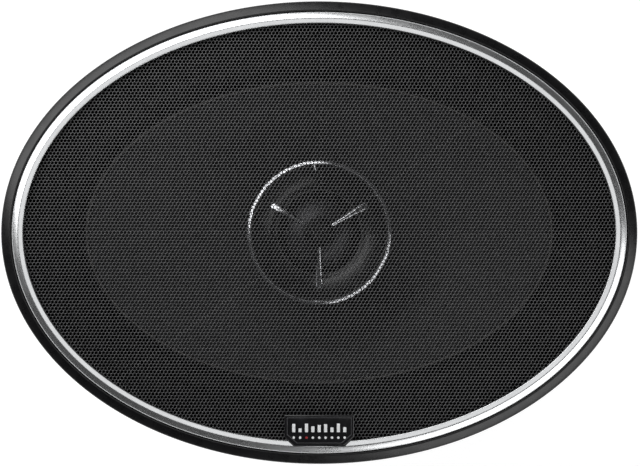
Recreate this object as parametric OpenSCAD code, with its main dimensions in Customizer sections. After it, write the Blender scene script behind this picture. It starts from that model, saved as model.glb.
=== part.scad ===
// Coaxial car speaker, 6 x 9 inch oval: woofer, tweeter pod on a centre post, and a push-fit grille.
// Millimetres. Z is the sound axis and points out of the front. X is the long axis of the oval.
// Z = 0 is the panel face that the rear gasket seats on. The motor hangs below it.

/* [Grille] */
// Overall grille width along X
grille_w = 250; // [220:0.5:280]
// Overall grille height along Y
grille_h = 181.8; // [150:0.1:210]
// Height of the trim's foot above the panel
trim_foot_z = 0.6; // [0.2:0.1:2]
// Height where the trim's side starts to lean in
trim_side_z = 7; // [4:0.1:8.6]
// Height of the trim's top edge
trim_top_z = 9.8; // [8:0.1:12]
// Plan width of the trim's sloping face
trim_slope_w = 3.3; // [2:0.1:5]
// Plan width of the flat along the trim's top edge
trim_edge_w = 0.6; // [0.3:0.1:1.2]
// Wall thickness of the trim
trim_wall = 1.6; // [1:0.1:2.5]
// Inward offset of the trim's inner edge
trim_inner_d = 8.9; // [8:0.1:11]
// Height of the floor that the mesh and accent ring sit on
channel_z = 9; // [8:0.1:10]
// Height of the trim's underside
trim_under_z = 7.4; // [6:0.1:8]
// Inward offset of the accent ring's outer edge
accent_outer_d = 4.2; // [4:0.1:6]
// Inward offset of the accent ring's crest
accent_crest_d = 6.7; // [5:0.1:8]
// Inward offset of the accent ring's inner edge
accent_inner_d = 8.7; // [7:0.1:10]
// Height of the accent ring's crest
accent_crest_z = 11.6; // [10:0.1:15]
// Height of the accent ring's outer shoulder
accent_shoulder_z = 10.3; // [9.5:0.1:11.5]
// Height of the accent ring's inner edge
accent_lip_z = 11.4; // [10:0.1:14]
// Inward offset of the mesh panel's edge
mesh_edge_d = 7; // [6:0.1:8]
// Mesh sheet thickness
mesh_t = 0.6; // [0.4:0.1:1]
// Rise of the mesh dome above its edge
mesh_rise = 11.4; // [4:0.1:16]

/* [Badge] */
// Badge width along X
badge_w = 27.2; // [15:0.1:40]
// Badge height along Y
badge_h = 12.2; // [6:0.1:20]
// Width of the badge's narrow outer edge
badge_foot_w = 19.4; // [10:0.1:30]
// Height of the badge's narrow part
badge_foot_h = 3.4; // [1:0.1:6]
// Badge plate thickness
badge_t = 1.4; // [0.8:0.1:3]
// Distance of the badge's centre from the axis, towards -Y
badge_y = 77.3; // [60:0.1:90]
// Height of the badge's underside at its centre
badge_z = 11.35; // [10:0.05:14]
// Tilt of the badge, outer edge down
badge_tilt = 12; // [0:0.5:25]
// Number of level bars in the emblem
emblem_bars = 9; // [5:1:13]

/* [Driver] */
// Half the cone's visible length along X
cone_a = 90.6; // [80:0.1:100]
// Half the cone's visible height along Y
cone_b = 58; // [50:0.1:66]
// Width of the surround's glued inner lip
roll_in_w = 3; // [2:0.1:5]
// Distance from the cone's visible edge to the outside of the roll
roll_out_w = 12.7; // [8:0.1:16]
// Distance from the cone's visible edge to the surround's outer edge
lip_out_w = 18.4; // [14:0.1:22]
// Height of the surround's roll above its lip
roll_h = 4.8; // [3:0.1:8]
// Surround sheet thickness
surround_t = 0.6; // [0.4:0.1:1]
// Cone paper thickness
cone_t = 0.8; // [0.4:0.1:1.5]
// Height of the cone's neck
neck_z = -20; // [-30:0.5:-12]
// Bend of the cone's flare
cone_flare = 0.85; // [0.6:0.05:1.2]
// Voice coil former, inner radius
former_r = 13; // [10:0.1:20]
// Voice coil former, wall
former_t = 0.2; // [0.1:0.05:0.5]
// Voice coil winding build
winding_t = 0.4; // [0.2:0.05:0.8]
// Voice coil winding length
winding_h = 11; // [6:0.5:16]

/* [Basket] */
// Sheet thickness of the basket
sheet_t = 1.2; // [0.8:0.1:2]
// Thickness of the foam gasket behind the flange
gasket_t = 2; // [1:0.1:4]
// Distance from the cone's visible edge to the flange's outer edge
flange_w = 27.4; // [24:0.1:32]
// Screw hole spacing along X
hole_dx = 182; // [170:0.5:200]
// Screw hole spacing along Y
hole_dy = 102; // [90:0.5:120]
// Screw hole radius
hole_r = 2.4; // [2:0.1:3]
// Radius of the ear around each screw hole
ear_r = 6; // [5:0.1:8]
// Height of the spider shelf
shelf_z = -29; // [-36:0.5:-22]
// Outer radius of the cup below the shelf
cup_r = 46; // [42:0.5:52]
// Height of the cup's floor
cup_z = -44; // [-52:0.5:-38]

/* [Motor] */
// Top plate radius
plate_r = 42.5; // [35:0.5:48]
// Top plate thickness
plate_t = 6; // [4:0.5:8]
// Top plate bore radius
gap_r = 14; // [13.8:0.05:15]
// Magnet radius
magnet_r = 47; // [40:0.5:55]
// Magnet bore radius
magnet_bore = 24; // [18:0.5:30]
// Magnet thickness
magnet_t = 17; // [10:0.5:25]
// Back plate radius
back_r = 45; // [38:0.5:52]
// Back plate thickness
back_t = 6; // [4:0.5:8]
// Pole radius
pole_r = 12.4; // [10:0.1:12.6]
// Rubber boot wall
boot_t = 2; // [1:0.1:3]
// Radius of the boot's access hole
boot_hole = 11; // [8:0.5:20]

/* [Tweeter] */
// Outer radius of the pod's bezel
pod_r = 28.65; // [24:0.05:34]
// Height of the bezel's top
pod_top = 15.5; // [10:0.1:18]
// Post radius
post_r = 6; // [4:0.1:8]
// Dome radius
dome_r = 12.8; // [10:0.1:14]
// Dome height
dome_h = 4.6; // [3:0.1:7]
// Reach of the diffuser's arms from the axis
arm_reach = 21.8; // [18:0.1:25]
// Width of an arm at its outer end
arm_w = 3; // [1.5:0.1:5]

/* [Wiring] */
// Terminal board width along X
board_w = 30; // [24:0.5:40]
// Terminal board thickness
board_t = 1.6; // [1:0.1:3]
// Width of the positive blade
blade_pos_w = 6.3; // [4:0.1:8]
// Width of the negative blade
blade_neg_w = 4.8; // [2.8:0.1:6.3]
// Capacitor radius
cap_r = 4.5; // [3:0.1:7]
// Capacitor length
cap_l = 15; // [8:0.5:24]

/* [Hidden] */
$fn = 96;
stations = 72;
seam = 0.1;
half_w = grille_w / 2;
half_h = grille_h / 2;

// heights up the front stack
flange_z = gasket_t;
deck_z = flange_z + sheet_t;
lip_top_z = deck_z + surround_t;
front_gasket_t = 2.4;
base_t = 2;
base_top_z = deck_z + base_t;

// heights down the motor
cup_floor_t = sheet_t;
plate_top_z = cup_z - cup_floor_t;
magnet_top_z = plate_top_z - plate_t;
back_top_z = magnet_top_z - magnet_t;
back_z = back_top_z - back_t;
boot_z = back_z - boot_t;
gap_mid_z = plate_top_z - plate_t / 2;
coil_bottom_z = gap_mid_z - winding_h / 2;
former_top_z = neck_z + 1.8;
coil_r = former_r + former_t;

// grille base ring on the flange
base_outer_d = 3.6;
base_inner_w = 19.6;
clip_wall_outer_d = 5.2;
clip_wall_inner_d = 6.8;
clip_wall_top_z = trim_under_z - seam;
screw_head_r = 5;

// mesh dome
mesh_a = half_w - mesh_edge_d;
mesh_b = half_h - mesh_edge_d;
dome_a = half_w - accent_inner_d;
dome_b = half_h - accent_inner_d;
dome_steps = [0.1, 0.28, 0.44, 0.58, 0.7, 0.81, 0.91, 1];
mesh_pin_r = 1.2;
pin_r = 1;
pin_x = 9;
pin_y = 76;
nut_r = 2.6;
nut_t = 0.6;
nut_z = 9.2;
notch_w = badge_w + 0.6;
notch_y = badge_y + badge_h / 2 + 0.3;
emblem_t = 0.35;

// spider and cup
spider_t = 0.5;
spider_in_r = coil_r + 0.15;
spider_out_r = 51;
wave_in_r = 17;
wave_out_r = 44.5;
wave_count = 6;
wave_h = 1.3;
wave_steps = 48;
shelf_r = 53;
cup_hole_r = 16;
cup_vent_r = 3.5;
cup_vents = 8;
rivet_count = 4;
rivet_ring_r = 30;
rivet_r = 1.9;
rivet_head_r = 3.4;
rivet_head_t = 1.2;
rivet_hole_r = 2;

// basket wall rows, top to bottom: half length, half height, height
skirt_w = 14.5;
wall_rows = [
    [cone_a + skirt_w, cone_b + skirt_w, deck_z],
    [cone_a + 13.7, cone_b + 13.7, -5],
    [92, 66, -13.5],
    [75, 60, -21],
    [57, 55, -27.5],
    [52.4, 52.4, -30.1]
];
wall_lift = [0, 0.3, 0.9, 1, 1, 1];
spokes = 8;
spoke_period = stations / spokes;
window_top = 1;
window_bottom = 3;

// tweeter heights
post_top_z = -9;
post_flange_r = 9;
post_flange_t = 2;
spigot_r = 4;
spigot_h = 2;
screw_r = 2.5;
screw_top_z = -33;
screw_head_h = 3;
screw_seat_r = 6;
lead_r = 0.6;
lead_x = 10.2;
lead_hole_r = 0.8;
pod_rim_z = 13.2;
ledge_z = 5.5;
ledge_r = 18.6;
motor_r = 15.5;
motor_z = -6;
motor_floor = 2;
motor_bore = 13.3;
motor_top_z = 4.7;
tw_magnet_r = 11.2;
tw_plate_r = 12.2;
tw_plate_z = 1.5;
tw_coil_r = 12.5;
tw_coil_z = 0.8;
dome_z = 6.4;
dome_t = 0.3;
skirt_h = 0.6;
hub_r = 6.2;
arm_z = 12.2;
arm_t = 1.3;
arm_foot_z = 9.6;
arm_inner_w = 1.8;

// wiring positions
board_top_z = -31;
board_z = board_top_z - board_t;
board_y = -66;
board_d = 15.5;
tab_w = 9;
tab_y = -64;
tab_d = 14;
tab_z = board_top_z;
blade_t = 0.8;
blade_z = board_z - blade_t;
blade_y = -73.5;
blade_d = 16;
blade_x = 8;
blade_rivet_y = -60;
small_rivet_r = 1.4;
small_hole_r = 1.45;
small_head_r = 2.3;
small_head_t = 0.6;
cap_y = -52.5;
cap_z = -37.9;
strap_t = 0.65;
strap_w = 3;
tinsel_r = 0.7;
wire_r = 0.4;

// ---- shared shapes ----

// A filled oval.
module oval(a, b) {
    scale([1, b / a]) circle(r = a);
}

// A flat oval ring between two ovals.
module oval_ring(a_out, b_out, a_in, b_in) {
    difference() {
        oval(a_out, b_out);
        oval(a_in, b_in);
    }
}

// The four screw positions.
module at_screws() {
    for (sx = [-1, 1], sy = [-1, 1])
        translate([sx * hole_dx / 2, sy * hole_dy / 2])
            children();
}

// Signed area of a closed profile of [half length, half height, z] rows.
function turn(p, i = 0) =
    i == len(p) ? 0 : p[i][0] * p[(i + 1) % len(p)][2] - p[(i + 1) % len(p)][0] * p[i][2] + turn(p, i + 1);

// Points of rows swept round the oval.
function swept(rows) =
    [for (r = rows, i = [0 : stations - 1])
        [r[0] * cos(i * 360 / stations), r[1] * sin(i * 360 / stations), r[2]]];

// Two triangles of a four-sided face.
function split(q, flip) =
    flip ? [[q[0], q[2], q[1]], [q[0], q[3], q[2]]] : [[q[0], q[1], q[2]], [q[0], q[2], q[3]]];

// A closed profile swept round the oval.
module oval_loop(rows) {
    m = len(rows);
    flip = turn(rows) > 0;
    faces = [for (j = [0 : m - 1], i = [0 : stations - 1])
        let (k = (j + 1) % m, n = (i + 1) % stations)
        each split([j * stations + i, j * stations + n, k * stations + n, k * stations + i], flip)];
    polyhedron(points = swept(rows), faces = faces, convexity = 10);
}

// A profile swept round the oval whose first and last rows are closed with flat caps.
module oval_shell(rows) {
    m = len(rows);
    walls = [for (j = [0 : m - 2], i = [0 : stations - 1])
        let (n = (i + 1) % stations)
        each split([j * stations + i, j * stations + n, (j + 1) * stations + n, (j + 1) * stations + i], false)];
    top = [for (i = [stations - 1 : -1 : 0]) i];
    bottom = [for (i = [0 : stations - 1]) (m - 1) * stations + i];
    polyhedron(points = swept(rows), faces = concat(walls, [top], [bottom]), convexity = 10);
}

// Rows of the grille family, from [inward offset, z] pairs.
function grille_rows(p) = [for (q = p) [half_w - q[0], half_h - q[0], q[1]]];

// Rows of the driver family, from [outward offset, z] pairs.
function driver_rows(p) = [for (q = p) [cone_a + q[0], cone_b + q[0], q[1]]];

// A vector of length one.
function unit(v) = v / norm(v);

// The direction of a path at one of its points.
function heading(p, i) =
    unit((i < len(p) - 1 ? unit(p[i + 1] - p[i]) : [0, 0, 0]) + (i > 0 ? unit(p[i] - p[i - 1]) : [0, 0, 0]));

// A round wire through a list of points; side is a direction the path never runs along.
module wire(p, r, side) {
    sides = 12;
    last = len(p) - 1;
    points = [for (i = [0 : last])
        let (t = heading(p, i), n = unit(cross(t, side)), b = cross(t, n))
        for (k = [0 : sides - 1])
            p[i] + r * (cos(k * 360 / sides) * n + sin(k * 360 / sides) * b)];
    walls = [for (i = [0 : last - 1], k = [0 : sides - 1])
        let (m = (k + 1) % sides)
        each split([(i + 1) * sides + k, (i + 1) * sides + m, i * sides + m, i * sides + k], false)];
    start = [for (k = [0 : sides - 1]) k];
    end = [for (k = [sides - 1 : -1 : 0]) last * sides + k];
    polyhedron(points = points, faces = concat(walls, [start], [end]), convexity = 10);
}

// ---- grille, lifts off as one ----

// Height of the mesh's top at a fraction of the way from its centre to the accent ring.
function mesh_height(f) = channel_z + mesh_t + mesh_rise * (1 - f * f);

module grille_mesh() {
    top = [for (f = dome_steps) [dome_a * f, dome_b * f, mesh_height(f)]];
    edge = [
        [mesh_a, mesh_b, channel_z + mesh_t],
        [mesh_a, mesh_b, channel_z]
    ];
    low = [for (k = [len(top) - 1 : -1 : 0]) [top[k][0], top[k][1], top[k][2] - mesh_t]];
    color([0.08, 0.08, 0.085])
        difference() {
            oval_shell(concat(top, edge, low));
            for (s = [-1, 1])
                translate([s * pin_x, -pin_y, 0])
                    cylinder(r = mesh_pin_r, h = accent_crest_z * 2, $fn = 48);
        }
}

module trim_ring() {
    profile = [
        [0, trim_foot_z],
        [0, trim_side_z],
        [trim_slope_w * 0.42, trim_side_z + (trim_top_z - trim_side_z) * 0.58],
        [trim_slope_w, trim_top_z],
        [trim_slope_w + trim_edge_w, trim_top_z],
        [accent_outer_d, channel_z],
        [trim_inner_d, channel_z],
        [trim_inner_d, trim_under_z],
        [trim_slope_w + trim_wall, trim_under_z],
        [trim_wall, trim_under_z - trim_wall / 4],
        [trim_wall, trim_foot_z]
    ];
    color([0.05, 0.05, 0.055])
        oval_loop(grille_rows(profile));
}

module accent_ring() {
    clamp_d = mesh_edge_d - seam * 2;
    floor_z = channel_z + mesh_t;
    profile = [
        [accent_outer_d + seam, channel_z],
        [accent_outer_d, accent_shoulder_z],
        [(accent_outer_d + accent_crest_d) / 2, accent_shoulder_z + (accent_crest_z - accent_shoulder_z) / 2 + seam],
        [accent_crest_d, accent_crest_z],
        [accent_inner_d, accent_lip_z],
        [accent_inner_d, floor_z],
        [clamp_d, floor_z],
        [clamp_d, channel_z]
    ];
    color([0.78, 0.79, 0.8])
        difference() {
            oval_loop(grille_rows(profile));
            translate([-notch_w / 2, -notch_y, floor_z + seam])
                cube([notch_w, badge_h, accent_crest_z]);
        }
}

// The badge's outline, narrower towards the rim.
module badge_outline(inset) {
    x = badge_w / 2 - inset;
    y = badge_h / 2 - inset;
    f = badge_foot_w / 2 - inset;
    h = badge_foot_h;
    polygon([[-x, y], [x, y], [x, -y + h], [f, -y], [-f, -y], [-x, -y + h]]);
}

// Places its children in the badge's tilted plane.
module at_badge() {
    translate([0, -badge_y, badge_z])
        rotate([badge_tilt, 0, 0])
            children();
}

module badge_plate() {
    color([0.03, 0.03, 0.035]) {
        at_badge()
            linear_extrude(badge_t)
                badge_outline(0);
        for (s = [-1, 1])
            translate([s * pin_x, -pin_y, nut_z - nut_t])
                cylinder(r = pin_r, h = badge_z - nut_z + nut_t * 2.5, $fn = 48);
    }
}

module badge_emblem() {
    pitch = 2.1;
    bar_w = 1.15;
    base_y = -1.3;
    dot_y = -3.4;
    dot_r = 0.5;
    color([0.85, 0.86, 0.87])
        at_badge()
            translate([0, 0, badge_t])
                linear_extrude(emblem_t)
                    for (i = [0 : emblem_bars - 1]) {
                        x = (i - (emblem_bars - 1) / 2) * pitch;
                        level = 1.6 + 3.6 * abs(cos(i * 74 + 20));
                        translate([x - bar_w / 2, base_y])
                            square([bar_w, level]);
                        translate([x, dot_y])
                            circle(r = dot_r);
                    }
}

module badge_push_nuts() {
    color([0.6, 0.61, 0.62])
        for (s = [-1, 1])
            translate([s * pin_x, -pin_y, nut_z])
                difference() {
                    cylinder(r = nut_r, h = nut_t);
                    translate([0, 0, -seam])
                        cylinder(r = pin_r + seam / 4, h = nut_t + 2 * seam);
                }
}

module grille_clips() {
    clip_w = 6;
    clip_t = 0.7;
    clip_d = clip_wall_inner_d + 0.3;
    clip_foot_z = base_top_z + 0.3;
    clip_angles = [0, 68, 112, 180, 248, 292];
    color([0.55, 0.56, 0.58])
        for (t = clip_angles) {
            a = half_w - clip_d;
            b = half_h - clip_d;
            translate([a * cos(t), b * sin(t), clip_foot_z])
                rotate([0, 0, atan2(a * sin(t), b * cos(t))])
                    translate([-clip_t, -clip_w / 2, 0])
                        cube([clip_t, clip_w, trim_under_z - clip_foot_z]);
        }
}

// ---- frame ----

module grille_base_ring() {
    color([0.07, 0.07, 0.075])
        difference() {
            translate([0, 0, deck_z])
                union() {
                    linear_extrude(base_t)
                        oval_ring(half_w - base_outer_d, half_h - base_outer_d,
                                  cone_a + base_inner_w, cone_b + base_inner_w);
                    linear_extrude(clip_wall_top_z - deck_z)
                        difference() {
                            oval_ring(half_w - clip_wall_outer_d, half_h - clip_wall_outer_d,
                                      half_w - clip_wall_inner_d, half_h - clip_wall_inner_d);
                            at_screws()
                                circle(r = screw_head_r);
                        }
                }
            translate([0, 0, deck_z - seam])
                linear_extrude(base_t + 2 * seam)
                    at_screws()
                        circle(r = hole_r);
        }
}

module front_gasket() {
    color([0.12, 0.12, 0.12])
        translate([0, 0, lip_top_z])
            linear_extrude(front_gasket_t)
                oval_ring(cone_a + lip_out_w, cone_b + lip_out_w,
                          cone_a + roll_out_w + 0.2, cone_b + roll_out_w + 0.2);
}

// The flange's outline with its ears and screw holes.
module flange_outline(outer_w, inner_w, punched = true) {
    difference() {
        union() {
            oval(cone_a + outer_w, cone_b + outer_w);
            at_screws()
                circle(r = ear_r);
        }
        oval(cone_a + inner_w, cone_b + inner_w);
        if (punched)
            at_screws()
                circle(r = hole_r);
    }
}

module rear_gasket() {
    inset = 0.6;
    color([0.1, 0.1, 0.1])
        linear_extrude(gasket_t)
            flange_outline(flange_w - inset, skirt_w + 2, false);
}

// Whether a cell of the basket's wall is solid.
function wall_solid(j, i) =
    j >= 0 && j < len(wall_rows) - 1
    && (j < window_top || j > window_bottom || i % spoke_period == 0 || i % spoke_period == spoke_period - 1);

// The basket's wall, an oval-to-round loft with a window between each pair of spokes.
module basket_wall() {
    rows = len(wall_rows);
    outer = swept(wall_rows);
    inner = swept([for (k = [0 : rows - 1])
        [wall_rows[k][0] - sheet_t, wall_rows[k][1] - sheet_t, wall_rows[k][2] + wall_lift[k]]]);
    skin = rows * stations;
    faces = [for (j = [0 : rows - 2], i = [0 : stations - 1])
        let (n = (i + 1) % stations,
             p = (i + stations - 1) % stations,
             q = [j * stations + i, j * stations + n, (j + 1) * stations + n, (j + 1) * stations + i],
             open = [!wall_solid(j - 1, i), !wall_solid(j, n), !wall_solid(j + 1, i), !wall_solid(j, p)])
        if (wall_solid(j, i))
            each concat(
                split(q, false),
                split([for (v = q) v + skin], true),
                [for (e = [0 : 3])
                    if (open[e])
                        each split([q[(e + 1) % 4], q[e], q[e] + skin, q[(e + 1) % 4] + skin], false)])];
    polyhedron(points = concat(outer, inner), faces = faces, convexity = 10);
}

module basket() {
    floor_z = cup_z - cup_floor_t;
    color([0.16, 0.16, 0.17])
        difference() {
            union() {
                translate([0, 0, flange_z])
                    linear_extrude(sheet_t)
                        flange_outline(flange_w, skirt_w - sheet_t / 2);
                basket_wall();
                rotate_extrude()
                    polygon([
                        [shelf_r, shelf_z],
                        [shelf_r, shelf_z - sheet_t],
                        [cup_r, shelf_z - sheet_t],
                        [cup_r, floor_z],
                        [cup_hole_r, floor_z],
                        [cup_hole_r, cup_z],
                        [cup_r - sheet_t, cup_z],
                        [cup_r - sheet_t, shelf_z]
                    ]);
                translate([-tab_w / 2, tab_y, tab_z])
                    cube([tab_w, tab_d, sheet_t]);
            }
            for (k = [0 : cup_vents - 1])
                rotate([90, 0, k * 360 / cup_vents])
                    translate([0, (cup_z + shelf_z) / 2 - sheet_t / 2, -cup_r - seam])
                        cylinder(r = cup_vent_r, h = sheet_t * 4);
            for (k = [0 : rivet_count - 1])
                rotate([0, 0, (k + 0.5) * 360 / rivet_count])
                    translate([rivet_ring_r, 0, floor_z - seam])
                        cylinder(r = rivet_hole_r, h = sheet_t + 2 * seam, $fn = 48);
            translate([0, blade_rivet_y + 1, tab_z - seam])
                cylinder(r = small_hole_r, h = sheet_t + 2 * seam, $fn = 48);
        }
}

// ---- moving cone and its suspension ----

module surround() {
    steps = 6;
    mid = (roll_in_w + roll_out_w) / 2;
    half = (roll_out_w - roll_in_w) / 2;
    over = [for (k = [0 : steps])
        [mid + half * cos(k * 180 / steps), lip_top_z + roll_h * sin(k * 180 / steps)]];
    under = [for (k = [steps : -1 : 0])
        [mid + (half - surround_t) * cos(k * 180 / steps), deck_z + roll_h * sin(k * 180 / steps)]];
    color([0.1, 0.1, 0.1])
        oval_loop(driver_rows(concat(
            [[lip_out_w, deck_z], [lip_out_w, lip_top_z]],
            over,
            [[0, lip_top_z], [0, deck_z]],
            under)));
}

// Points down the cone's flare, rim to neck.
function cone_row(s, drop) =
    [cone_neck_w + (cone_a - rim_in_w - cone_neck_w) * s,
     cone_neck_w + (cone_b - rim_in_w - cone_neck_w) * s,
     neck_z + (deck_z - neck_z) * pow(s, cone_flare) - drop];
cone_neck_w = coil_r + 2.2;
rim_in_w = 1;
rim_out_w = 2.6;
cone_bore = coil_r + 0.2;

module cone() {
    steps = [1, 0.78, 0.56, 0.36, 0.18, 0.06, 0];
    face = [for (s = steps) cone_row(s, 0)];
    back = [for (k = [len(steps) - 1 : -1 : 0]) cone_row(steps[k], cone_t)];
    rim_a = cone_a + rim_out_w;
    rim_b = cone_b + rim_out_w;
    color([0.2, 0.2, 0.21])
        oval_loop(concat(
            [[rim_a, rim_b, deck_z]],
            face,
            [[cone_bore, cone_bore, neck_z], [cone_bore, cone_bore, neck_z - cone_t]],
            back,
            [[rim_a, rim_b, deck_z - cone_t]]));
}

module cone_collar() {
    color([0.13, 0.13, 0.14])
        rotate_extrude()
            polygon([[coil_r, neck_z], [coil_r + 2, neck_z], [coil_r, former_top_z]]);
}

module voice_coil_former() {
    color([0.72, 0.52, 0.25])
        translate([0, 0, coil_bottom_z])
            difference() {
                cylinder(r = coil_r, h = former_top_z - coil_bottom_z);
                translate([0, 0, -seam])
                    cylinder(r = former_r, h = former_top_z - coil_bottom_z + 2 * seam);
            }
}

module voice_coil() {
    color([0.72, 0.36, 0.16])
        translate([0, 0, coil_bottom_z])
            difference() {
                cylinder(r = coil_r + winding_t, h = winding_h);
                translate([0, 0, -seam])
                    cylinder(r = coil_r, h = winding_h + 2 * seam);
            }
}

// Height of the spider's corrugations at a radius.
function wave(r) = wave_h * sin((r - wave_in_r) / (wave_out_r - wave_in_r) * 360 * wave_count);

module spider() {
    rs = [for (k = [0 : wave_steps]) wave_in_r + (wave_out_r - wave_in_r) * k / wave_steps];
    top = [for (r = rs) [r, shelf_z + spider_t + wave(r)]];
    low = [for (k = [wave_steps : -1 : 0]) [rs[k], shelf_z + wave(rs[k])]];
    color([0.66, 0.5, 0.24])
        rotate_extrude()
            polygon(concat(
                [[spider_in_r, shelf_z], [spider_in_r, shelf_z + spider_t]],
                top,
                [[spider_out_r, shelf_z + spider_t], [spider_out_r, shelf_z]],
                low));
}

module tinsel_leads() {
    color([0.8, 0.62, 0.4])
        for (s = [-1, 1])
            wire([
                [s * 8, -57, -30.2],
                [s * 9, -60, -27],
                [s * 9.5, -57, -23.5],
                [s * 9.5, -48, -21.5],
                [s * 9, -38, -18],
                [s * 8.5, -32, -11]
            ], tinsel_r, [1, 0, 0]);
}

// ---- motor ----

module top_plate() {
    color([0.7, 0.7, 0.66])
        translate([0, 0, magnet_top_z])
            difference() {
                cylinder(r = plate_r, h = plate_t);
                translate([0, 0, -seam])
                    cylinder(r = gap_r, h = plate_t + 2 * seam);
                for (k = [0 : rivet_count - 1])
                    rotate([0, 0, (k + 0.5) * 360 / rivet_count])
                        translate([rivet_ring_r, 0, -seam])
                            cylinder(r = rivet_hole_r, h = plate_t + 2 * seam, $fn = 48);
            }
}

module magnet() {
    chamfer = 1;
    color([0.15, 0.15, 0.16])
        rotate_extrude()
            polygon([
                [magnet_bore, back_top_z],
                [magnet_r - chamfer, back_top_z],
                [magnet_r, back_top_z + chamfer],
                [magnet_r, magnet_top_z - chamfer],
                [magnet_r - chamfer, magnet_top_z],
                [magnet_bore, magnet_top_z]
            ]);
}

module yoke() {
    screw_seat_z = back_z + screw_head_h + 0.2;
    bore_r = screw_r + 0.2;
    color([0.7, 0.7, 0.66])
        difference() {
            rotate_extrude()
                polygon([
                    [bore_r, plate_top_z],
                    [bore_r, screw_seat_z],
                    [screw_seat_r, screw_seat_z],
                    [screw_seat_r, back_z],
                    [back_r, back_z],
                    [back_r, back_top_z],
                    [pole_r, back_top_z],
                    [pole_r, plate_top_z]
                ]);
            for (s = [-1, 1])
                translate([s * lead_x, 0, back_z - seam])
                    cylinder(r = lead_hole_r, h = plate_top_z - back_z + 2 * seam, $fn = 48);
        }
}

module basket_rivets() {
    color([0.75, 0.76, 0.77])
        for (k = [0 : rivet_count - 1])
            rotate([0, 0, (k + 0.5) * 360 / rivet_count])
                translate([rivet_ring_r, 0, 0]) {
                    translate([0, 0, magnet_top_z])
                        cylinder(r = rivet_r, h = cup_z - magnet_top_z, $fn = 48);
                    translate([0, 0, cup_z])
                        cylinder(r1 = rivet_head_r, r2 = rivet_head_r * 0.6, h = rivet_head_t, $fn = 48);
                }
}

module magnet_boot() {
    inner = magnet_r + seam;
    outer = inner + boot_t;
    round = 2;
    rim_z = magnet_top_z - 1.4;
    color([0.06, 0.06, 0.065])
        rotate_extrude()
            polygon([
                [boot_hole, boot_z],
                [outer - round, boot_z],
                [outer - round * 0.3, boot_z + round * 0.3],
                [outer, boot_z + round],
                [outer, rim_z],
                [inner, rim_z],
                [inner, back_z],
                [boot_hole, back_z]
            ]);
}

module post_screw() {
    head_r = 5;
    hex_r = 2.6;
    hex_depth = 2;
    color([0.6, 0.61, 0.62])
        difference() {
            union() {
                translate([0, 0, back_z + 0.2])
                    cylinder(r = head_r, h = screw_head_h);
                translate([0, 0, back_z + 0.2 + screw_head_h])
                    cylinder(r = screw_r, h = screw_top_z - back_z - screw_head_h - 0.2);
            }
            translate([0, 0, back_z])
                cylinder(r = hex_r, h = hex_depth + 0.2, $fn = 6);
        }
}

// ---- tweeter pod ----

module tweeter_post() {
    bore_r = screw_r + 0.05;
    color([0.2, 0.2, 0.21])
        rotate_extrude()
            polygon([
                [bore_r, plate_top_z],
                [post_r, plate_top_z],
                [post_r, post_top_z - post_flange_t * 2],
                [post_flange_r, post_top_z - post_flange_t],
                [post_flange_r, post_top_z],
                [spigot_r, post_top_z],
                [spigot_r, post_top_z + spigot_h],
                [0, post_top_z + spigot_h],
                [0, screw_top_z + 1],
                [bore_r, screw_top_z + 1]
            ]);
}

module pod_housing() {
    rim_r = pod_r - 0.25;
    color([0.06, 0.06, 0.065])
        difference() {
            rotate_extrude()
                polygon([
                    [spigot_r + 0.05, post_top_z],
                    [12.5, post_top_z],
                    [16.5, post_top_z + 2],
                    [19, -2],
                    [21.8, 4],
                    [27.2, 10.2],
                    [rim_r, 12],
                    [rim_r, pod_rim_z],
                    [rim_r - 0.9, pod_rim_z],
                    [rim_r - 0.9, pod_rim_z - 0.8],
                    [19.6, ledge_z + 0.5],
                    [ledge_r, ledge_z],
                    [motor_r + seam, ledge_z],
                    [motor_r + seam, motor_z],
                    [spigot_r + 0.05, motor_z]
                ]);
            for (s = [-1, 1])
                translate([s * lead_x, 0, post_top_z - seam])
                    cylinder(r = lead_hole_r, h = motor_z - post_top_z + 2 * seam, $fn = 48);
        }
}

module tweeter_faceplate() {
    rim_r = pod_r - 1.35;
    color([0.07, 0.07, 0.075])
        rotate_extrude()
            polygon([
                [16.4, 6.2],
                [18.5, 6.2],
                [rim_r, pod_rim_z - 0.3],
                [rim_r, pod_rim_z],
                [rim_r - 0.9, pod_rim_z],
                [24.4, 11.5],
                [22, 9.6],
                [20, 8.3],
                [18.4, 7.6],
                [16.4, 7]
            ]);
}

module pod_bezel() {
    inner = pod_r - 2.05;
    color([0.08, 0.08, 0.085])
        rotate_extrude()
            polygon([
                [inner, pod_rim_z],
                [pod_r, pod_rim_z],
                [pod_r, pod_top - 1.3],
                [pod_r - 0.2, pod_top - 1],
                [pod_r - 1.75, pod_top],
                [inner + 0.05, pod_top - 0.3]
            ]);
}

module diffuser() {
    arm_angles = [30, 150, 270];
    foot_l = 1.5;
    crown = 0.7;
    color([0.07, 0.07, 0.075]) {
        translate([0, 0, arm_z])
            cylinder(r = hub_r, h = arm_t);
        translate([0, 0, arm_z + arm_t])
            cylinder(r1 = hub_r, r2 = hub_r * 0.55, h = crown);
        for (a = arm_angles)
            rotate([0, 0, a]) {
                translate([0, 0, arm_z])
                    linear_extrude(arm_t)
                        polygon([
                            [hub_r - 1, -arm_inner_w / 2],
                            [arm_reach, -arm_w / 2],
                            [arm_reach, arm_w / 2],
                            [hub_r - 1, arm_inner_w / 2]
                        ]);
                translate([arm_reach - foot_l, -arm_w / 2, arm_foot_z])
                    cube([foot_l, arm_w, arm_z + arm_t - arm_foot_z]);
            }
    }
}

module tweeter_cup() {
    color([0.6, 0.6, 0.58])
        rotate_extrude()
            polygon([
                [0, motor_z],
                [motor_r, motor_z],
                [motor_r, motor_top_z],
                [motor_bore, motor_top_z],
                [motor_bore, motor_z + motor_floor],
                [0, motor_z + motor_floor]
            ]);
}

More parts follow.
